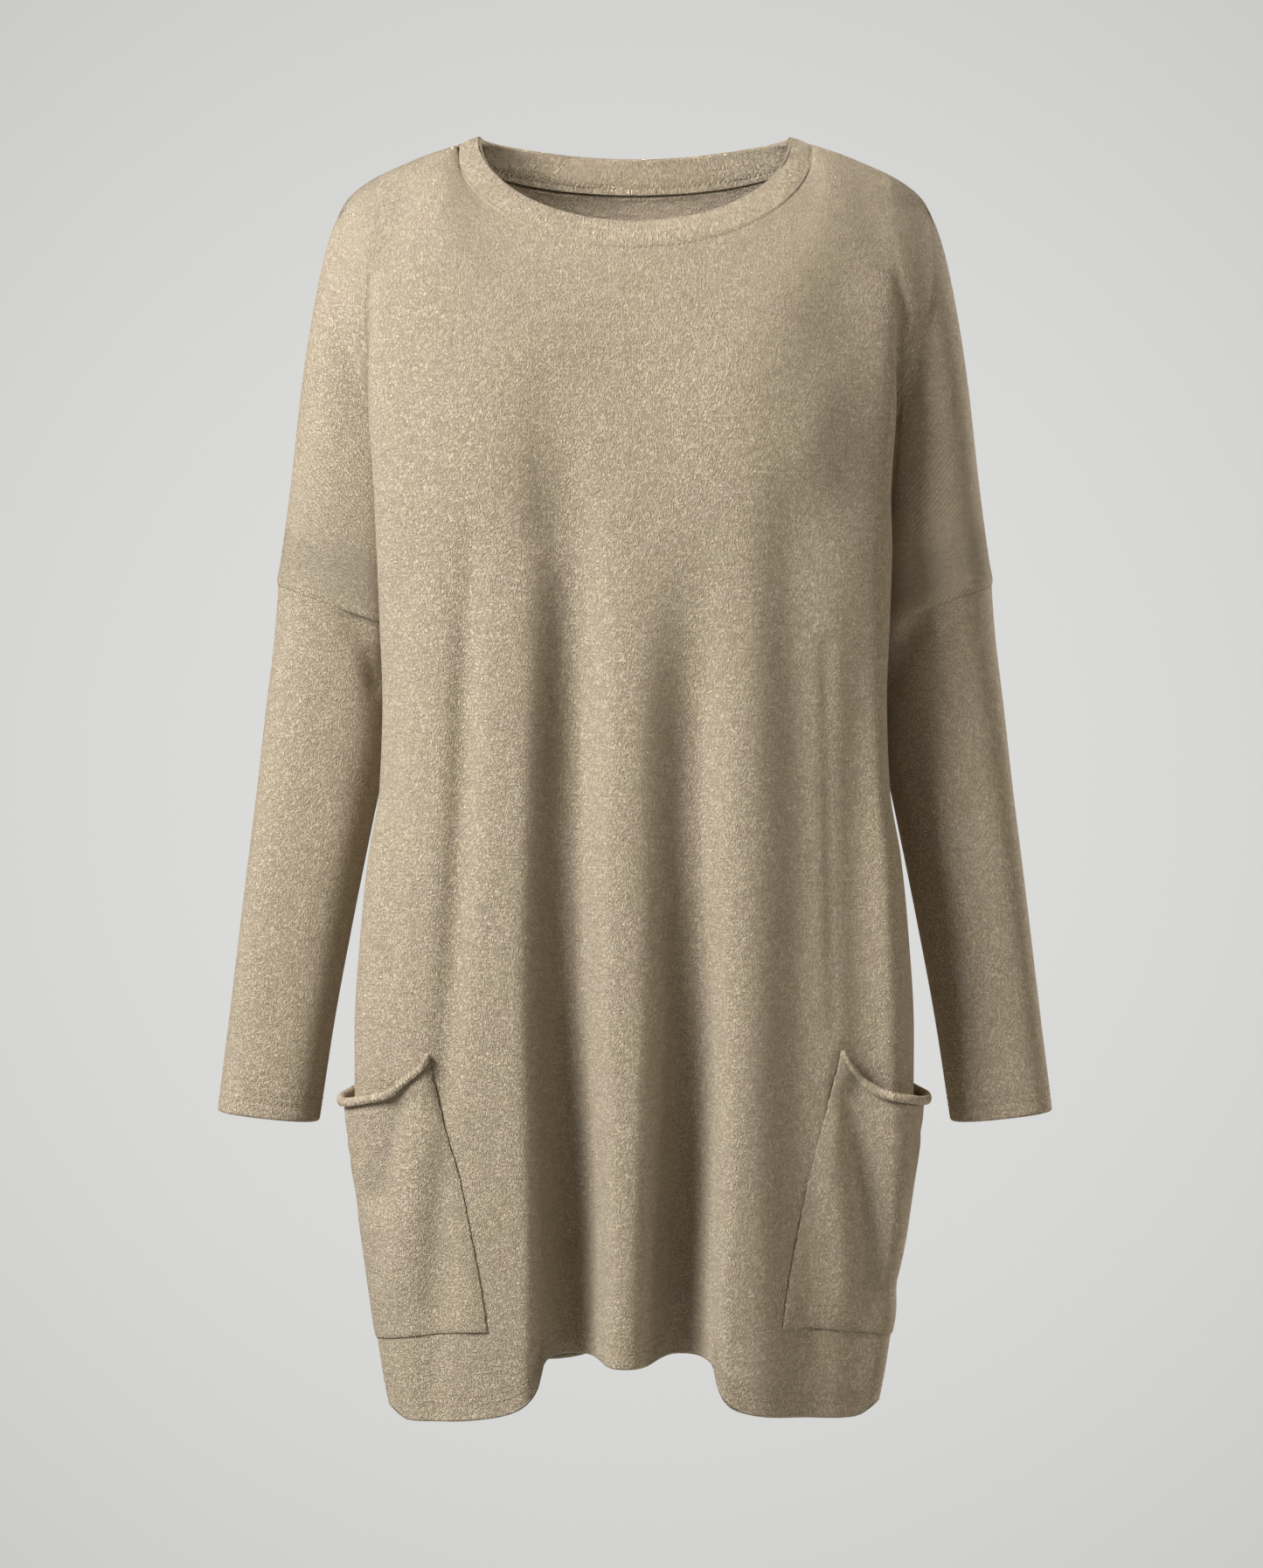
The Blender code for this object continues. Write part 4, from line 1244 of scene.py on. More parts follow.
def armhole_ring(half):
    """Table points along the armhole, from the underarm over the front and down the back."""
    centre = HALF_COLUMNS * FINER
    arm = ARM_COLUMNS * FINER
    body = BODY_HALF * FINER
    outward = [centre + int(half) * (body + k) for k in range(arm + 1)]
    front_line = front_grid[UPPER_ROWS, outward]
    back_line = back_grid[UPPER_ROWS, outward[::-1]]
    return np.concatenate([front_line, back_line[1:]])


def sleeve_grid(half):
    """Table points of a sleeve, and how far above its cuff's edge each row lies."""
    ring = armhole_ring(half)
    count = len(ring) - 1
    turn = math.pi - 2 * math.pi * np.arange(count + 1) / count
    plain = np.linspace(0, 1 - CUFF_DEPTH / SLEEVE_LENGTH, SLEEVE_ROWS + 1)
    fine = 1 - CUFF_DEPTH / SLEEVE_LENGTH * (1 - np.arange(1, CUFF_FINE_ROWS + 1) / CUFF_FINE_ROWS)
    along = np.concatenate([plain, fine])
    along, turn = np.broadcast_arrays(along[:, None], turn[None, :])
    shape = oval(half, along, turn)
    start = ring[None] + shape - oval(half, np.zeros_like(along), turn)
    share = ease(along / SLEEVE_BLEND)[..., None]
    return mix(start, shape, share), (1 - along) * SLEEVE_LENGTH


print("armhole ring of", len(armhole_ring(1.0)), "points")

# %% [markdown]
# Creases at the elbow and the underarm
#
# A worn sleeve breaks softly below the armhole and inside the elbow. The creases are placed on the flat
# sleeve, across from its outer side and down, and the sleeve sits a little lower than the cloth above
# its seam, so that the seam line catches a shadow.

# %% Sleeves
SLEEVE_CREASES = table(
    "x1 down1 x2 down2 depth width",
    (-88, 316, -110, 356, 3.6, 7),
    (-92, 330, -112, 372, 1.6, 12),
    (86, 312, 104, 356, 3.5, 8),
    (-40, 420, -70, 452, 0.9, 12),
    (48, 470, 76, 440, 1.2, 12),
    (-66, 560, -30, 590, 0.8, 12),
)
STEP = 0.7
STEP_RISE = 1.2
STEP_FADE = 5.0
DIP = 3.0
DIP_REACH = 58.0
DIP_FULL = 30.0
DIP_LEAST = 0.15


def seam_dip(below):
    """The sleeve sits a little lower than the cloth above the seam."""
    sink = below / DIP_REACH * np.exp(1 - below / DIP_REACH)
    return DIP * sink + STEP * (1 - np.exp(-below / STEP_RISE)) * np.exp(-below / STEP_FADE)


sleeves = []
cuff_edges = []
for side, half in (("left", 1.0), ("right", -1.0)):
    grid, above = sleeve_grid(half)
    points = to_space(grid)
    place = cloth_places(points) / METRES
    dip = seam_dip(SLEEVE_LENGTH - above) * np.clip(np.abs(place[..., 0]) / DIP_FULL, DIP_LEAST, 1)
    depth = crease_depth(SLEEVE_CREASES, place[..., 0], place[..., 1]) + dip
    points = points - grid_normals(points, -half) * depth[..., None] * METRES
    points = hemmed(points, above, -half)
    cuff_edges.append((side, points, above, -half))
    name = "sleeve_" + side + "_cloth"
    sleeves.append(cloth_wall(name, points, all_cells(points), hem_thickness(above), -half, SEAM_REACH))
print("sleeves", short(sleeves[0].dimensions, 3))

# %% [markdown]
# Neckband
#
# The band is a strip folded in two, so it is twice as thick as the cloth and its free edge is a round
# fold. It stands on the neckline seam and leans in to the neck. Both its lines are found from the
# neckline, so band and panels share every column.

# %% Band lines
EDGE_HALF = 102.5
EDGE_FRONT = {"y": -72.0, "down": 65.0}
EDGE_BACK = {"y": 62.0, "down": 4.5}
EDGE_SHOULDER_DOWN = -2.0
BACK_EDGE_POWER = 3


def band_line(front):
    """Seam and free edge of half of the band, from the right shoulder to the left."""
    columns = np.arange(-NECK_COLUMNS * FINER, NECK_COLUMNS * FINER + 1) / FINER
    half = np.where(columns < 0, -1.0, 1.0)
    x, y, down = top_edge(front, np.abs(columns))
    across = x / SEAM_HALF
    turn = np.sqrt(np.maximum(0.0, 1 - across * across))
    edge = EDGE_FRONT if front else EDGE_BACK
    edge_y = NECK_Y + (edge["y"] - NECK_Y) * turn**NECK_ROUND
    edge_down = mix(EDGE_SHOULDER_DOWN, edge["down"], turn if front else turn**BACK_EDGE_POWER)
    seam = np.stack([half * x, y, down], axis=-1)
    free = np.stack([half * EDGE_HALF * across, edge_y, edge_down], axis=-1)
    return seam, free


print("the neck is", 2 * EDGE_HALF, "mm wide inside")

# %% [markdown]
# The band itself
#
# The seam side is thinner, because the strip is pressed flat where it is sewn in, and it reaches over
# the edge of the panels. The grain runs across the strip, as on a band that is knitted along its length.

# %% Neckband
BAND_ROUND = 0.7
BAND_THICK = 3.0
BAND_REACH = 1.9
BAND_SEAM_THICK = 2.0
BAND_THIN_FROM = 0.6
BAND_ROWS = 12


def band_grid():
    """Rows from the free edge down to the seam, columns all the way round from the left shoulder."""
    front_seam, front_free = band_line(True)
    back_seam, back_free = band_line(False)
    seam = np.concatenate([back_seam[::-1], front_seam[1:]])
    free = np.concatenate([back_free[::-1], front_free[1:]])
    run = (np.arange(BAND_ROWS + 1) / BAND_ROWS)[:, None, None]
    grid = mix(free[None], seam[None], run)
    grid[..., 2] -= BAND_ROUND * np.sin(run[..., 0] * math.pi)
    return grid


band_points = to_space(band_grid())
band_reach = np.full(band_points.shape[:2], SEAM_REACH)
band_reach[-1] = BAND_REACH
band_run = np.arange(BAND_ROWS + 1)[:, None] / BAND_ROWS
band_thick = mix(BAND_THICK, BAND_SEAM_THICK, ease((band_run - BAND_THIN_FROM) / (1 - BAND_THIN_FROM)))
band_cells = all_cells(band_points)
neckband = cloth_wall("neckband_cloth", band_points, band_cells, band_thick, -1.0, band_reach, 0, True)
print("neckband", short(neckband.dimensions, 3))

# %% [markdown]
# Pockets
#
# Each pocket is a patch that lies on the front, sewn along its slanted edge, its bottom and the side
# seam. Its mouth hangs open: the cloth bags outward there and sags in the middle. The patch is the
# panel's own grid, slid down near the mouth, so that it follows every fold beneath it.

# %% Sagging mouth
RIM_SAG = 31.0
SAG_SHARE = 0.45
GAPE_POWER = 0.8
GAPE_SKEW = 0.85


def sagged(points, normals, across):
    """Points and normals of the front under the pocket, slid down near the mouth where it sags."""
    gape = np.sin(math.pi * across**GAPE_SKEW) ** GAPE_POWER
    sag = RIM_SAG * METRES * gape / (points[0, :, 2] - points[-1, :, 2])
    share = np.arange(POCKET_ROWS + 1)[:, None] / POCKET_ROWS
    place = (share + sag[None] * np.maximum(0.0, 1 - share / SAG_SHARE)) * POCKET_ROWS
    low = np.minimum(place.astype(int), POCKET_ROWS - 1)
    part = (place - low)[..., None]
    picked = np.arange(len(across))[None, :]
    base = mix(points[low, picked], points[low + 1, picked], part)
    normal = mix(normals[low, picked], normals[low + 1, picked], part)
    return base, normal / np.linalg.norm(normal, axis=-1, keepdims=True)


print("pocket mouths sag by", RIM_SAG, "mm")

# %% [markdown]
# How far a pocket stands off
#
# The patch lies close along its seams, a raised cord of seam allowance runs inside the slanted edge,
# and towards the mouth the cloth bags out, most in the middle. Small creases fan out below the mouth.

# %% Pocket lift
POCKET_LIFT = 1.9
EDGE_LIFT = 1.3
EDGE_SOFT = 0.06
FOOT_SOFT = 0.05
EDGE_RIDGE = 0.9
RIDGE_AT = 0.035
RIDGE_WIDTH = 0.03
RIM_STANDS_OFF = 6.2
BAG_SKEW = 0.65
STAND_POWER = 1.25
BAG_POWER = 1.5
SIDE_BAG_POWER = 1.8
SIDE_BAG_STARTS = 0.35
SIDE_BAG_RUN = 0.25
POCKET_CREASES = table(
    "x1 down1 x2 down2 depth width",
    (-150, 690, -168, 700, 1.4, 6),
    (-170, 655, -184, 658, 0.8, 3.2),
    (-172, 667, -185, 671, 0.8, 3.0),
    (166, 650, 182, 656, 0.8, 3.2),
)
CREASE_STARTS = 0.15


def table_place(points):
    """Back from space to the x and down of the tables."""
    return points[..., 0] / METRES, ORIGIN_DOWN - points[..., 2] / METRES


def pocket_lift(base, across):
    """Distance between the front and the pocket, in millimetres."""
    share = np.arange(POCKET_ROWS + 1)[:, None] / POCKET_ROWS
    stands = np.sin(math.pi * across**BAG_SKEW) ** STAND_POWER
    power = mix(BAG_POWER, SIDE_BAG_POWER, ease((across - SIDE_BAG_STARTS) / SIDE_BAG_RUN))
    bag = RIM_STANDS_OFF * stands[None] * (1 - share) ** power[None]
    crease = crease_depth(POCKET_CREASES, *table_place(base)) * ease(across / CREASE_STARTS)
    lift = mix(EDGE_LIFT, POCKET_LIFT, ease(across / EDGE_SOFT)[None] * ease((1 - share) / FOOT_SOFT))
    lift = lift + EDGE_RIDGE * np.exp(-(((across - RIDGE_AT) / RIDGE_WIDTH) ** 2))[None]
    return lift + np.maximum(bag - crease, 0)


print("pocket mouths stand off by", RIM_STANDS_OFF, "mm")

# %% [markdown]
# The rolled mouth
#
# A cut jersey edge rolls to its outside by itself. The roll is a few more rows wound round a circle
# above the first row of the patch, thinner towards the corner where the seam holds it.

# %% Mouth roll
ROLL_RADIUS = 1.5
ROLL_TURN = 255.0
ROLL_STEPS = 12
ROLL_LEAST = 0.6
ROLL_SOFT = 0.25


def mouth_roll(patch, normal, across):
    """Rows of the rolled mouth: up from the first row of the patch, outward and down again."""
    up = patch[0] - patch[1]
    up /= np.linalg.norm(up, axis=-1, keepdims=True)
    out = normal[0] - up * np.sum(normal[0] * up, axis=-1, keepdims=True)
    out /= np.linalg.norm(out, axis=-1, keepdims=True)
    radius = (ROLL_RADIUS * METRES * mix(ROLL_LEAST, 1.0, ease(across / ROLL_SOFT)))[:, None]
    rows = []
    for step in range(ROLL_STEPS, 0, -1):
        angle = math.radians(ROLL_TURN) * step / ROLL_STEPS
        rows.append(patch[0] + out * radius * (1 - math.cos(angle)) + up * radius * math.sin(angle))
    return np.array(rows)


print("the roll is", 2 * ROLL_RADIUS + CLOTH_THICK, "mm thick")

# %% [markdown]
# Both pockets
#
# A sewn look comes from the slanted edge, which wavers by a few tenths of a millimetre between the
# stitches. Two sines of different length give that without any random number.

# %% Pockets
EDGE_WAVE = 0.22
EDGE_WAVE_DROP = 1.35
EDGE_WAVE_SECOND = 0.61
EDGE_WAVE_SHIFT = 1.7
EDGE_WAVE_FADE = 2.5
MOUTH_ROW = UPPER_ROWS + WAIST_ROWS
BOTTOM_ROW = MOUTH_ROW + POCKET_ROWS


def pocket_grid(half):
    """Points of a pocket in space, from the rolled mouth down, made from the points of the front."""
    count = (BODY_HALF - NECK_COLUMNS) * FINER
    columns = [HALF_COLUMNS * FINER + int(half) * (NECK_COLUMNS * FINER + k) for k in range(count + 1)]
    rows = slice(MOUTH_ROW, BOTTOM_ROW + 1)
    normals = grid_normals(front_points, FRONT_OUTWARD)[rows][:, columns]
    across = np.arange(count + 1) / count
    base, normal = sagged(front_points[rows][:, columns], normals, across)
    patch = base + normal * (pocket_lift(base, across) * METRES)[..., None]
    wave = table_place(base)[1] / EDGE_WAVE_DROP
    sway = np.sin(wave) + np.sin(wave * EDGE_WAVE_SECOND + EDGE_WAVE_SHIFT)
    patch[..., 0] += EDGE_WAVE * METRES * sway * np.exp(-np.arange(count + 1) / EDGE_WAVE_FADE)
    return np.concatenate([mouth_roll(patch, normal, across), patch])


pockets = []
for side, half in (("left", 1.0), ("right", -1.0)):
    points = pocket_grid(half)
    name = "pocket_" + side + "_cloth"
    pockets.append(cloth_wall(name, points, all_cells(points), CLOTH_THICK, -half, straight=True))
print("pockets", short(pockets[0].dimensions, 3))

# %% [markdown]
# One stitch
#
# The hem, the cuffs and the neckline are held by rows of short machine stitches. One stitch is a thin
# bead of thread, thinner at both ends where it dives into the cloth. All stitches of an edge are made
# at once from their places along a line and joined into one mesh, which is light and easy to hide.

# %% Stitch row
STITCH_LONG = 2.7
STITCH_PITCH = 3.6
THREAD_THICK = 0.62
STITCH_RINGS = ((-0.5, 0.15), (-0.32, 0.85), (0.0, 1.0), (0.32, 0.85), (0.5, 0.15))
STITCH_SIDES = 6
STITCH_RISE = 0.5
STITCH_DIVE = 2.6


def along_line(at, lengths, values):
    """Values of a line at some lengths along it."""
    return np.stack([np.interp(at, lengths, values[:, k]) for k in range(3)], axis=1)


def unit(vectors):
    """The same directions with a length of one."""
    return vectors / np.linalg.norm(vectors, axis=1, keepdims=True)


def stitch_row(line, normals, turn=0.0, long=STITCH_LONG, thick=THREAD_THICK):
    """Beads of thread along a line of points. turn slants them to one side."""
    steps = np.linalg.norm(np.diff(line, axis=0), axis=1) / METRES
    lengths = np.concatenate([[0.0], np.cumsum(steps)])
    at = np.arange(STITCH_PITCH / 2, lengths[-1], STITCH_PITCH)
    centre = along_line(at, lengths, line)
    normal = along_line(at, lengths, normals)
    forward = unit(along_line(at + 1, lengths, line) - along_line(at - 1, lengths, line))
    sideways = unit(np.cross(forward, normal))
    along = forward * math.cos(turn) + sideways * math.sin(turn)
    side = sideways * math.cos(turn) - forward * math.sin(turn)
    rings = []
    for share, size in STITCH_RINGS:
        dive = thick * (STITCH_RISE - STITCH_DIVE * share * share)
        middle = centre + (along * share * long + normal * dive) * METRES
        for k in range(STITCH_SIDES):
            angle = 2 * math.pi * k / STITCH_SIDES
            round_out = side * math.cos(angle) + normal * math.sin(angle)
            rings.append(middle + round_out * size * thick / 2 * METRES)
    return np.stack(rings, axis=1)


print("a stitch is", STITCH_LONG, "mm long, one every", STITCH_PITCH, "mm")

# %% [markdown]
# Many stitches, one mesh
#
# Every bead has the same faces, so they are written once and shifted by the number of points in a bead
# for each further stitch. Instances on a curve would do it as well; a joined mesh keeps the scene plain.

# %% Stitch object
def stitch_object(name, rows):
    """One mesh of all the stitches in several rows."""
    beads = np.concatenate(rows)
    each = beads.shape[1]
    faces = []
    for ring in range(len(STITCH_RINGS) - 1):
        for k in range(STITCH_SIDES):
            a, b = ring * STITCH_SIDES + k, ring * STITCH_SIDES + (k + 1) % STITCH_SIDES
            faces.append((a, b, b + STITCH_SIDES, a + STITCH_SIDES))
    faces = (np.array(faces)[None] + (np.arange(len(beads)) * each)[:, None, None]).reshape(-1, 4)
    points = beads.reshape(-1, 3)
    print(len(beads), "stitches in", name)
    return cloth_object(name, points, faces, points)


print(len(STITCH_RINGS) * STITCH_SIDES, "points in a stitch")

# %% [markdown]
# Stitches of hem and cuffs
#
# A stitch row lies at a steady height above the edge, which falls between two rows of the grid. So each
# column is read at the share between its rows where that height is reached.

# %% Hem and cuff stitches
LEAST_SPAN = 1e-9


def row_at(points, distance, level):
    """Points where a distance, one value a row and column, reaches a level, one point a column."""
    reached = np.argmax(distance >= level, axis=0)
    picked = np.arange(points.shape[1])
    low = np.maximum(reached - 1, 0)
    span = distance[reached, picked] - distance[low, picked]
    part = ((level - distance[low, picked]) / np.maximum(span, LEAST_SPAN))[:, None]
    return mix(points[low, picked], points[reached, picked], part)


def hem_rows(points, above, outward, columns):
    """Two rows of stitches above the hem, on the columns that reach it."""
    normals = grid_normals(points, outward)[:, columns]
    rows = []
    for level in STITCH_LINES:
        line = row_at(points[:, columns], -above[:, columns], -level)
        rows.append(stitch_row(line, row_at(normals, -above[:, columns], -level)))
    return rows


body_columns = slice(ARM_COLUMNS * FINER, -ARM_COLUMNS * FINER)
hem_beads = hem_rows(front_points, front_above, FRONT_OUTWARD, body_columns)
hem_beads += hem_rows(back_points, back_above, BACK_OUTWARD, body_columns)
hem_stitches = stitch_object("hem_stitches", hem_beads)
cuff_stitches = []
for side, points, above, outward in cuff_edges:
    rows = hem_rows(points, above, outward, slice(None))
    cuff_stitches.append(stitch_object("cuff_" + side + "_stitches", rows))
print("hem stitches", short(hem_stitches.dimensions, 3))

# %% [markdown]
# Stitches of the neck
#
# Outside, one row holds the seam allowance down all round the neckline. Inside the back of the band two
# rows of slanted stitches cover the seam, the one place where the inside of the sweater shows.

# %% Neck stitches
INSIDE_SLANT = math.radians(50)
INSIDE_LONG = 3.4
INSIDE_THICK = 0.6
INSIDE_ROWS = ((BAND_ROWS - 3, 1), (BAND_ROWS - 2, -1))
neck_columns = slice(neck_start, -neck_start)
neck_rows = []
for points, outward in ((front_points, FRONT_OUTWARD), (back_points, BACK_OUTWARD)):
    reach = column_lengths(points)[:, neck_columns]
    line = row_at(points[:, neck_columns], reach, NECK_LINE)
    normals = row_at(grid_normals(points, outward)[:, neck_columns], reach, NECK_LINE)
    neck_rows.append(stitch_row(line, normals))
band_half = band_points.shape[1] // 2 + 1
for row, slant in INSIDE_ROWS:
    inward = -grid_normals(band_points, -1.0)[row, :band_half]
    line = band_points[row, :band_half] + inward * band_thick[row] * METRES
    neck_rows.append(stitch_row(line, inward, slant * INSIDE_SLANT, INSIDE_LONG, INSIDE_THICK))
neck_stitches = stitch_object("neck_stitches", neck_rows)
print("neck stitches", short(neck_stitches.dimensions, 3))

# %% [markdown]
# A short way to write nodes
#
# Finishes are made of shader nodes. Adding and joining them one by one takes four lines each, so this
# small class does it in one: a number goes into a socket, and the output of another node is joined.

# %% Node helper
class Nodes:
    """Short names for making and joining the nodes of one tree."""

    def __init__(self, tree):
        self.tree = tree

    def add(self, kind, inputs=None, **settings):
        node = self.tree.nodes.new(kind)
        for key, value in settings.items():
            setattr(node, key, value)
        for key, value in (inputs or {}).items():
            self.put(value, node.inputs[key])
        return node

    def put(self, value, socket):
        if isinstance(value, bpy.types.NodeSocket):
            self.tree.links.new(value, socket)
        else:
            socket.default_value = value

    def math(self, operation, a, b=0.0):
        return self.add("ShaderNodeMath", {0: a, 1: b}, operation=operation).outputs[0]

    def stretch(self, place, scale):
        return self.add("ShaderNodeMapping", {"Vector": place, "Scale": scale}).outputs[0]

    def noise(self, place, scale, detail=2.0, roughness=0.5, distortion=0.0):
        values = {"Vector": place, "Scale": scale, "Detail": detail, "Roughness": roughness}
        return self.add("ShaderNodeTexNoise", {**values, "Distortion": distortion}).outputs[0]

    def blend(self, share, a, b):
        return self.add("ShaderNodeMix", {0: share, 6: a, 7: b}, data_type="RGBA").outputs[2]

    def ramp(self, value, low, high, to_low=0.0, to_high=1.0):
        return self.add("ShaderNodeMapRange", {0: value, 1: low, 2: high, 3: to_low, 4: to_high}).outputs[0]


def new_finish(name):
    """A material, its nodes and its main shader."""
    material = bpy.data.materials.new(name)
    material.use_nodes = True
    return material, Nodes(material.node_tree), material.node_tree.nodes["Principled BSDF"]


print("node helper:", [name for name in vars(Nodes) if not name.startswith("_")])

# %% [markdown]
# Sewing thread
#
# The thread is a shade darker than the yarn, which is why a row of stitches reads as a fine line. It
# is too thin to show any grain, so a paint of one colour is enough for it.

# %% Thread
THREAD = (0.40, 0.325, 0.23)
THREAD_ROUGH = 0.7


def plain_paint(name, colour, roughness):
    """A material of one colour."""
    material, _, shader = new_finish(name)
    shader.inputs["Base Color"].default_value = (*colour, 1)
    shader.inputs["Roughness"].default_value = roughness
    return material


sewing_thread = plain_paint("sewing thread", THREAD, THREAD_ROUGH)
for piece in (hem_stitches, *cuff_stitches, neck_stitches):
    piece.data.materials.append(sewing_thread)
print("thread colour", THREAD)

# %% [markdown]
# The crimped grain
#
# The fabric is brushed, so the stitches melt into a fine crimped grain about two millimetres wide. The
# grain is a ridge of noise: where a smooth noise crosses its middle value it draws thin wandering lines.
# A finer noise breaks them up. Single loops could be modelled, but there are hundreds of thousands of
# them, and on brushed cloth none can be told from the next.

# %% Grain
COARSE_GRAIN = 600.0
COARSE_BEND = 0.5
FINE_GRAIN = 1300.0
LINE_WIDTH = 0.16
LINE_SHARE = 0.65
FINE_SHARE = 0.45


def crimped_grain(n, place, stretch):
    """Height of the brushed surface, from 0 in the hollows to about 1 on the lines."""
    stretched = n.stretch(place, stretch)
    coarse = n.noise(stretched, COARSE_GRAIN, 1.0, 0.5, COARSE_BEND)
    fine = n.noise(stretched, FINE_GRAIN, 1.0)
    lines = n.math("ABSOLUTE", n.math("SUBTRACT", coarse, 0.5))
    lines = n.ramp(lines, 0.0, LINE_WIDTH, 1.0, 0.0)
    return n.math("ADD", n.math("MULTIPLY", lines, LINE_SHARE), n.math("MULTIPLY", fine, FINE_SHARE))


print("coarse grain about", round(1000 / COARSE_GRAIN, 1), "mm wide")

# %% [markdown]
# Slanted rows of knitting
#
# On the grown-on sleeves the brushing is lighter, so slanted rows of knitting show through. A sine of
# the place on the cloth draws them. Masks fade them in over the shoulder and end them at the sleeve.

# %% Slanted rows
ROW_PITCH = 0.0034
ROW_SLANT = math.radians(60)
ROW_SIDE = (0.2, 0.24)
ROW_TOP = (0.14, 0.24)
ROW_END = (0.36, 0.37)
ROW_SHARPNESS = 0.9


def slanted_rows(n, place):
    """Where the rows run, and how much of them shows."""
    parts = n.add("ShaderNodeSeparateXYZ", {"Vector": place})
    side = n.math("ABSOLUTE", parts.outputs["X"])
    across = n.math("MULTIPLY", side, math.sin(ROW_SLANT))
    down = n.math("MULTIPLY", parts.outputs["Y"], math.cos(ROW_SLANT))
    turn = n.math("MULTIPLY", n.math("ADD", across, down), 2 * math.pi / ROW_PITCH)
    rows = n.ramp(n.math("SINE", turn), 0.0, ROW_SHARPNESS)
    shown = n.math("MULTIPLY", n.ramp(side, *ROW_SIDE), n.ramp(parts.outputs["Y"], *ROW_TOP))
    return rows, n.math("MULTIPLY", shown, n.ramp(parts.outputs["Y"], *ROW_END, 1.0, 0.0))


print("a slanted row every", ROW_PITCH / METRES, "mm")

# %% [markdown]
# Shades of the yarn
#
# The yarn is spun from fibres dyed in a few close shades, oatmeal with a little grey, pink and straw.
# Large soft noise mixes pink and straw in slow patches, and short flecks of the darker fibre run along
# the rows. Each noise reads the place on the cloth, so nothing slides over the folds.

# %% Yarn shades
YARN = (0.68, 0.577, 0.437)
# The darker fibre of the flecks; the same colour is also the painted shade in the hollows of the grain.
DARK_FIBRE_AND_SHADE = (0.33, 0.255, 0.165)
YARN_PINK = (0.69, 0.573, 0.445)
YARN_STRAW = (0.68, 0.583, 0.415)
PATCH_SCALE = 34.0
PATCH_STRETCH = (0.5, 1.0, 1.0)
PATCH_DETAIL = 4.0
PATCH_RANGE = (0.4, 0.66)
SHADE_SCALE = 16.0
SHADE_RANGE = (0.42, 0.62)
FLECK_SCALE = 330.0
FLECK_STRETCH = (0.3, 1.0, 1.0)
FLECK_RANGE = (0.46, 0.72)
ROUGHER = 0.6
STRAW_SHARE = 0.6
FLECK_SHARE = 0.35


def yarn_shades(n, place):
    """Colour of the yarn before the grain shades it."""
    patch = n.noise(n.stretch(place, PATCH_STRETCH), PATCH_SCALE, PATCH_DETAIL, ROUGHER)
    shade = n.noise(place, SHADE_SCALE)
    fleck = n.noise(n.stretch(place, FLECK_STRETCH), FLECK_SCALE, roughness=ROUGHER)
    colour = n.blend(n.ramp(patch, *PATCH_RANGE), (*YARN, 1), (*YARN_PINK, 1))
    colour = n.blend(n.ramp(shade, *SHADE_RANGE, 0.0, STRAW_SHARE), colour, (*YARN_STRAW, 1))
    return n.blend(n.ramp(fleck, *FLECK_RANGE, 0.0, FLECK_SHARE), colour, (*DARK_FIBRE_AND_SHADE, 1))


print("shades:", YARN, YARN_PINK, YARN_STRAW, DARK_FIBRE_AND_SHADE)

# %% [markdown]
# The knit finish
#
# The grain drives a bump, and its hollows are darkened in colour as painted shade. The surface is nearly
# matt, with a little sheen that stands for the raised fibres and brightens the cloth where it turns away.

# %% Knit
# Painted shade: the hollows of the grain are darkened towards the dark colour, less where the slanted rows
# show.
HOLLOW_PAINTED_SHADE = 0.75
PAINTED_SHADE_RANGE = (0.25, 0.8)
SHADE_KEPT_ON_ROWS = 0.55
ROW_SHARE = 0.42
GRAIN_HEIGHT = 0.0015
KNIT_SURFACE = {
    "Roughness": 0.92,
    "Specular IOR Level": 0.15,
    "Sheen Weight": 0.25,
    "Sheen Roughness": 0.55,
    "Sheen Tint": (0.95, 0.86, 0.72, 1.0),
}


def knit(name, stretch):
    """Brushed heathered knit. The cloth place of each point keeps the grain fixed to the cloth."""
    material, n, shader = new_finish(name)
    place = n.add("ShaderNodeAttribute", attribute_name="cloth_place").outputs["Vector"]
    grain = crimped_grain(n, place, stretch)
    rows, shown = slanted_rows(n, place)
    shade_kept = n.ramp(shown, 0.0, 1.0, 1.0, SHADE_KEPT_ON_ROWS)
    # painted shade in the hollows of the grain
    painted_hollow_shade = n.math("MULTIPLY", n.ramp(grain, *PAINTED_SHADE_RANGE, HOLLOW_PAINTED_SHADE, 0.0), shade_kept)
    groove = n.math("MULTIPLY", n.math("MULTIPLY", rows, shown), ROW_SHARE)
    colour = n.blend(painted_hollow_shade, yarn_shades(n, place), (*DARK_FIBRE_AND_SHADE, 1))
    colour = n.blend(groove, colour, (*DARK_FIBRE_AND_SHADE, 1))
    bump = n.add("ShaderNodeBump", {"Strength": 1.0, "Distance": GRAIN_HEIGHT, "Height": grain}).outputs[0]
    n.put(colour, shader.inputs["Base Color"])
    n.put(bump, shader.inputs["Normal"])
    for socket, value in KNIT_SURFACE.items():
        shader.inputs[socket].default_value = value
    return material


BODY_STRETCH = (1.4, 0.75, 1.0)
BAND_STRETCH = (1.6, 0.4, 1.0)
body_knit = knit("body knit", BODY_STRETCH)
band_knit = knit("band knit", BAND_STRETCH)
for piece in (front, back, *sleeves, *pockets):
    piece.data.materials.append(body_knit)
neckband.data.materials.append(band_knit)
print(body_knit.name, "has", len(body_knit.node_tree.nodes), "nodes")
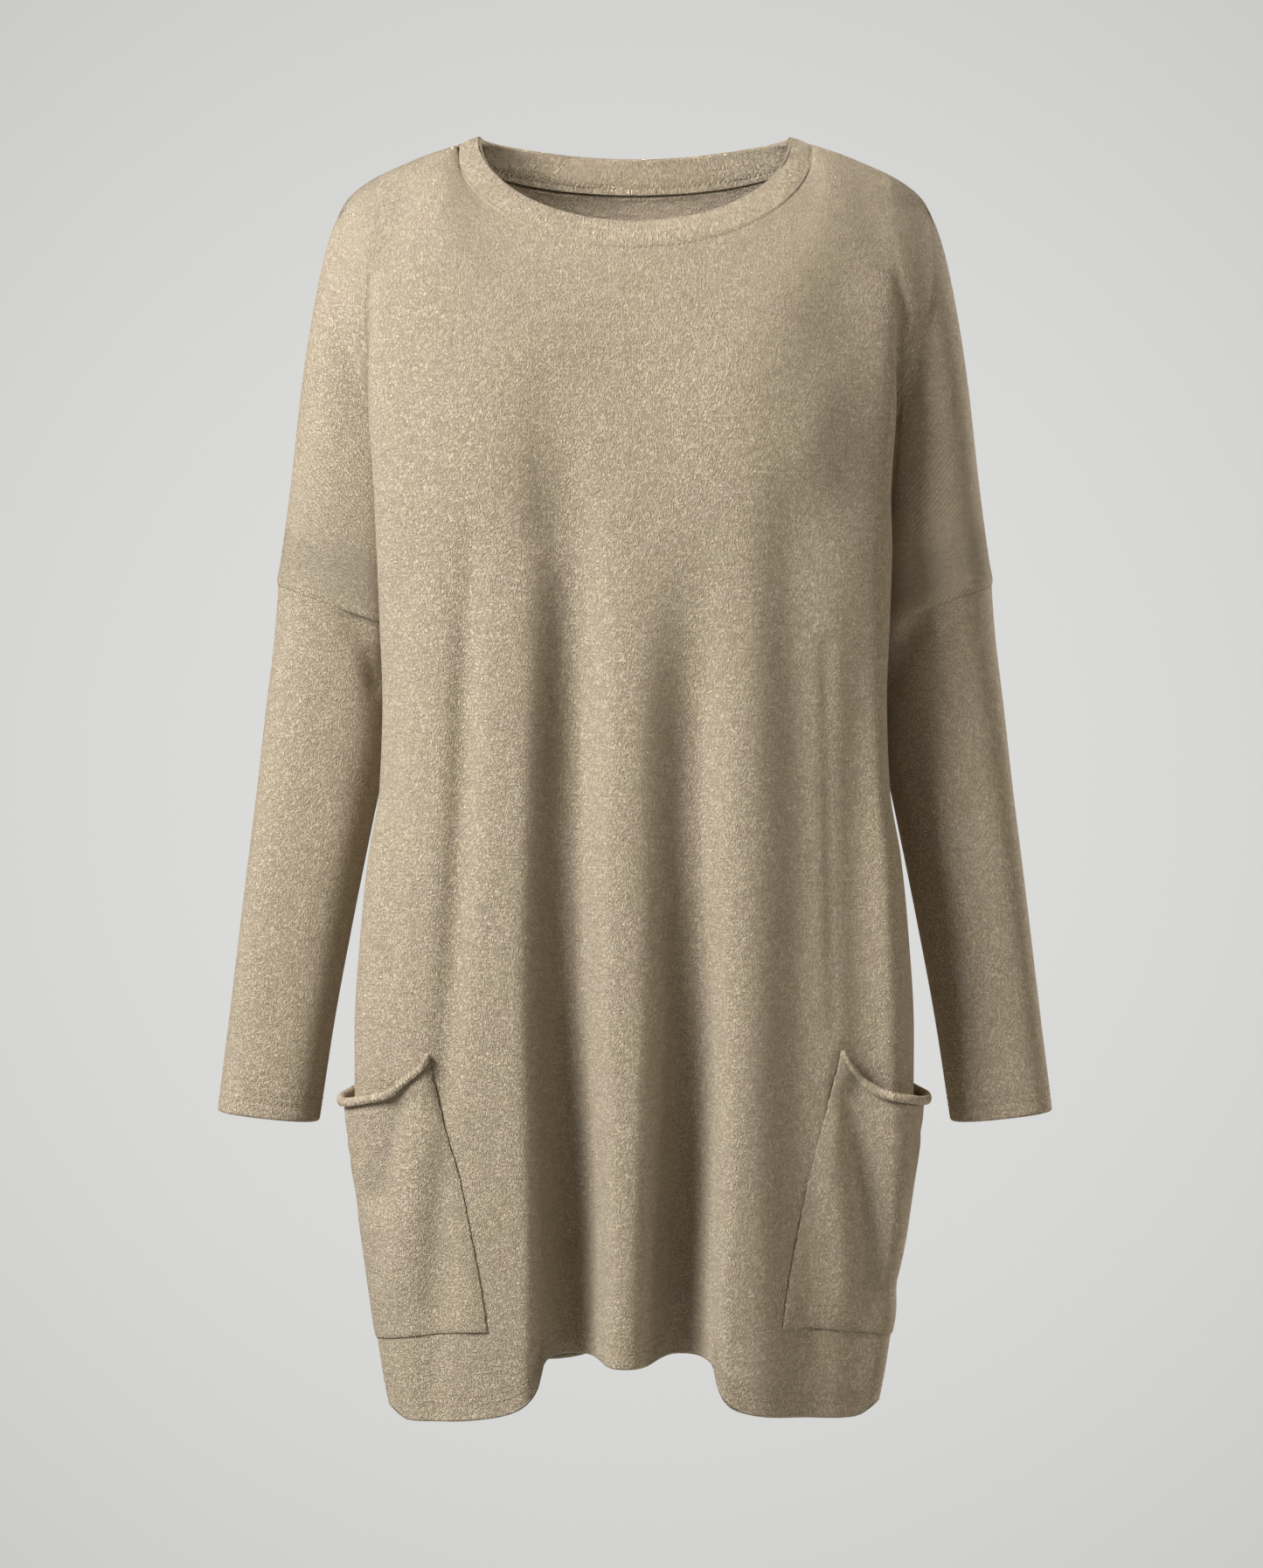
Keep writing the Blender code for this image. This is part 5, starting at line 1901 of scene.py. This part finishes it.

# %% [markdown]
# What each piece stands for
#
# Every shell replaces its solid and rides on the one body of the garment. The neckline carries front and
# back, and they carry the sleeves and the pockets. Each row of the table gives the flat width and length
# that the piece is cut to, the area of the cloth, the slot of its finish and what it rests on.

CUT = {
    "front": ((0.93, 0.85), 0.483, "knit", ["neckband"]),
    "back": ((0.93, 0.83), 0.411, "knit", ["neckband"]),
    "sleeve_left": ((0.30, 0.36), 0.0825, "knit", ["front", "back"]),
    "sleeve_right": ((0.30, 0.36), 0.0825, "knit", ["front", "back"]),
    "neckband": ((0.68, 0.0235), 0.0149, "knit_band", ["front", "back"]),
    "pocket_left": ((0.17, 0.19), 0.0266, "knit_pocket", ["front"]),
    "pocket_right": ((0.17, 0.19), 0.0293, "knit_pocket", ["front"]),
}
made = {piece.name.replace("_cloth", ""): piece for piece in (front, back, *sleeves, neckband, *pockets)}
for node, (flat, area, slot, rests_on) in CUT.items():
    piece = made[node]
    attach(piece, "root")
    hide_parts(node)
    outer = sum(polygon.area for polygon in piece.data.polygons) / 2
    print(node, "half of its surface is", round(outer, 4), "square metres")
for piece in (hem_stitches, *cuff_stitches, neck_stitches):
    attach(piece, "root")

# %% [markdown]
# Camera
#
# A level camera looks at the front from 2.6 metres with a long lens, so that the sides stay hidden and
# the sweater keeps its true proportions.

# %% Camera
CAMERA_DISTANCE = 2.6
CAMERA_X = -0.0023
CAMERA_Z = -0.422
LENS = 90.0

camera = bpy.data.objects.new("camera", bpy.data.cameras.new("camera"))
camera.location = (CAMERA_X, -CAMERA_DISTANCE, CAMERA_Z)
camera.rotation_euler = (math.radians(90), 0.0, 0.0)
camera.data.lens = LENS
bpy.context.scene.collection.objects.link(camera)
bpy.context.scene.camera = camera
print("camera", short(camera.location, 4), "with a lens of", LENS, "mm")

# %% [markdown]
# Lights
#
# The key light is broad, high and to the left, which lights the left flank of every fold. A warm, weak
# light from the right keeps the shadows brown, one from behind draws the edges, and a very narrow one
# reaches down into the neck, where the band would hide its own inside. Each row gives a name, a place,
# an aim, a size in metres, a power in watts and a tint.

# %% Lights
LIGHTS = (
    ("key", (-1.7, -1.54, 0.86), (0, 0, -0.38), 1.25, 110.0, (1.0, 0.995, 0.98)),
    ("side", (2.9, -0.7, 0.1), (0, 0, -0.4), 1.5, 27.0, (1.0, 0.93, 0.8)),
    ("back", (2.0, 2.3, 0.8), (0, 0, -0.4), 1.5, 85.0, (1.0, 0.985, 0.96)),
    ("neck", (0.6, -1.45, 0.95), (-0.02, 0.06, -0.02), 0.12, 0.075, (1.0, 0.96, 0.9)),
)
NECK_SPREAD = math.radians(9)


def area_light(name, place, aim, size, power, tint):
    """A round soft light that looks from its place towards its aim."""
    data = bpy.data.lights.new(name, "AREA")
    data.shape = "DISK"
    data.size = size
    data.energy = power
    data.color = tint
    light = bpy.data.objects.new(name, data)
    light.location = place
    direction = np.array(aim) - np.array(place)
    yaw = math.atan2(direction[0], -direction[1])
    tilt = math.atan2(np.hypot(direction[0], direction[1]), -direction[2])
    light.rotation_euler = (tilt, 0.0, yaw + math.pi)
    bpy.context.scene.collection.objects.link(light)
    return light


lamps = {row[0]: area_light(*row) for row in LIGHTS}
lamps["neck"].data.spread = NECK_SPREAD
print("lights:", sorted(lamps), "with", short(lamp.data.energy for lamp in lamps.values()), "watts")

# %% [markdown]
# Floor
#
# The sweater keeps its worn form in the air, and well below it lies a plain pale floor, which shows
# only in views from above. It is marked as stage, so it isn't taken for a piece of the sweater.

# %% Floor
FLOOR_Z = -2.2
FLOOR_RADIUS = 6.0
FLOOR_SIDES = 64
FLOOR_PAINT = (0.72, 0.72, 0.71)
FLOOR_ROUGH = 0.8

bpy.ops.mesh.primitive_circle_add(
    vertices=FLOOR_SIDES, radius=FLOOR_RADIUS, fill_type="NGON", location=(0, 0, FLOOR_Z)
)
floor = bpy.context.object
floor.name = "floor"
floor.data.materials.append(plain_paint("pale floor", FLOOR_PAINT, FLOOR_ROUGH))
floor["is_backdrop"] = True
print("floor at", FLOOR_Z, "m")

# %% [markdown]
# Room
#
# The room gives a little warm light from all round, and behind the sweater it shows as a pale grey with
# painted shade towards the edges, like the falloff on a lit paper backdrop. One world does both: rays from
# the camera see the grey, all other rays get the warm light.

# %% Room light
ROOM_SHOWN = (0.705, 0.703, 0.695)
# Painted shade: the grey behind the sweater darkens to this colour towards the edges of the view.
ROOM_EDGE_PAINTED_SHADE = (0.582, 0.582, 0.575)
ROOM_LIGHT = (0.97, 0.84, 0.66)
ROOM_STRENGTH = 0.085
ROOM_AHEAD = (0.965, 0.995)

world = bpy.data.worlds.new("room")
bpy.context.scene.world = world
world.use_nodes = True
room = Nodes(world.node_tree)
room.tree.nodes.clear()
direction = room.add("ShaderNodeTexCoord").outputs["Generated"]
ahead = room.add("ShaderNodeVectorMath", {0: direction, 1: (0.0, 1.0, 0.0)}, operation="DOT_PRODUCT")
backdrop = room.blend(room.ramp(ahead.outputs["Value"], *ROOM_AHEAD), (*ROOM_EDGE_PAINTED_SHADE, 1), (*ROOM_SHOWN, 1))
glow = room.add("ShaderNodeBackground", {0: (*ROOM_LIGHT, 1), 1: ROOM_STRENGTH}).outputs[0]
shown = room.add("ShaderNodeBackground", {0: backdrop}).outputs[0]
seen = room.add("ShaderNodeLightPath").outputs["Is Camera Ray"]
both = room.add("ShaderNodeMixShader", {0: seen, 1: glow, 2: shown}).outputs[0]
room.add("ShaderNodeOutputWorld", {0: both})
bpy.context.scene.view_settings.view_transform = "Standard"
print("room light", ROOM_STRENGTH, "of", ROOM_LIGHT)

# %% [markdown]
# Sizes
#
# Last, the box of the dressed sweater is measured and printed.

# %% Sizes and finish
visual_low, visual_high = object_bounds()
print("visual box", short(visual_high - visual_low, 4))
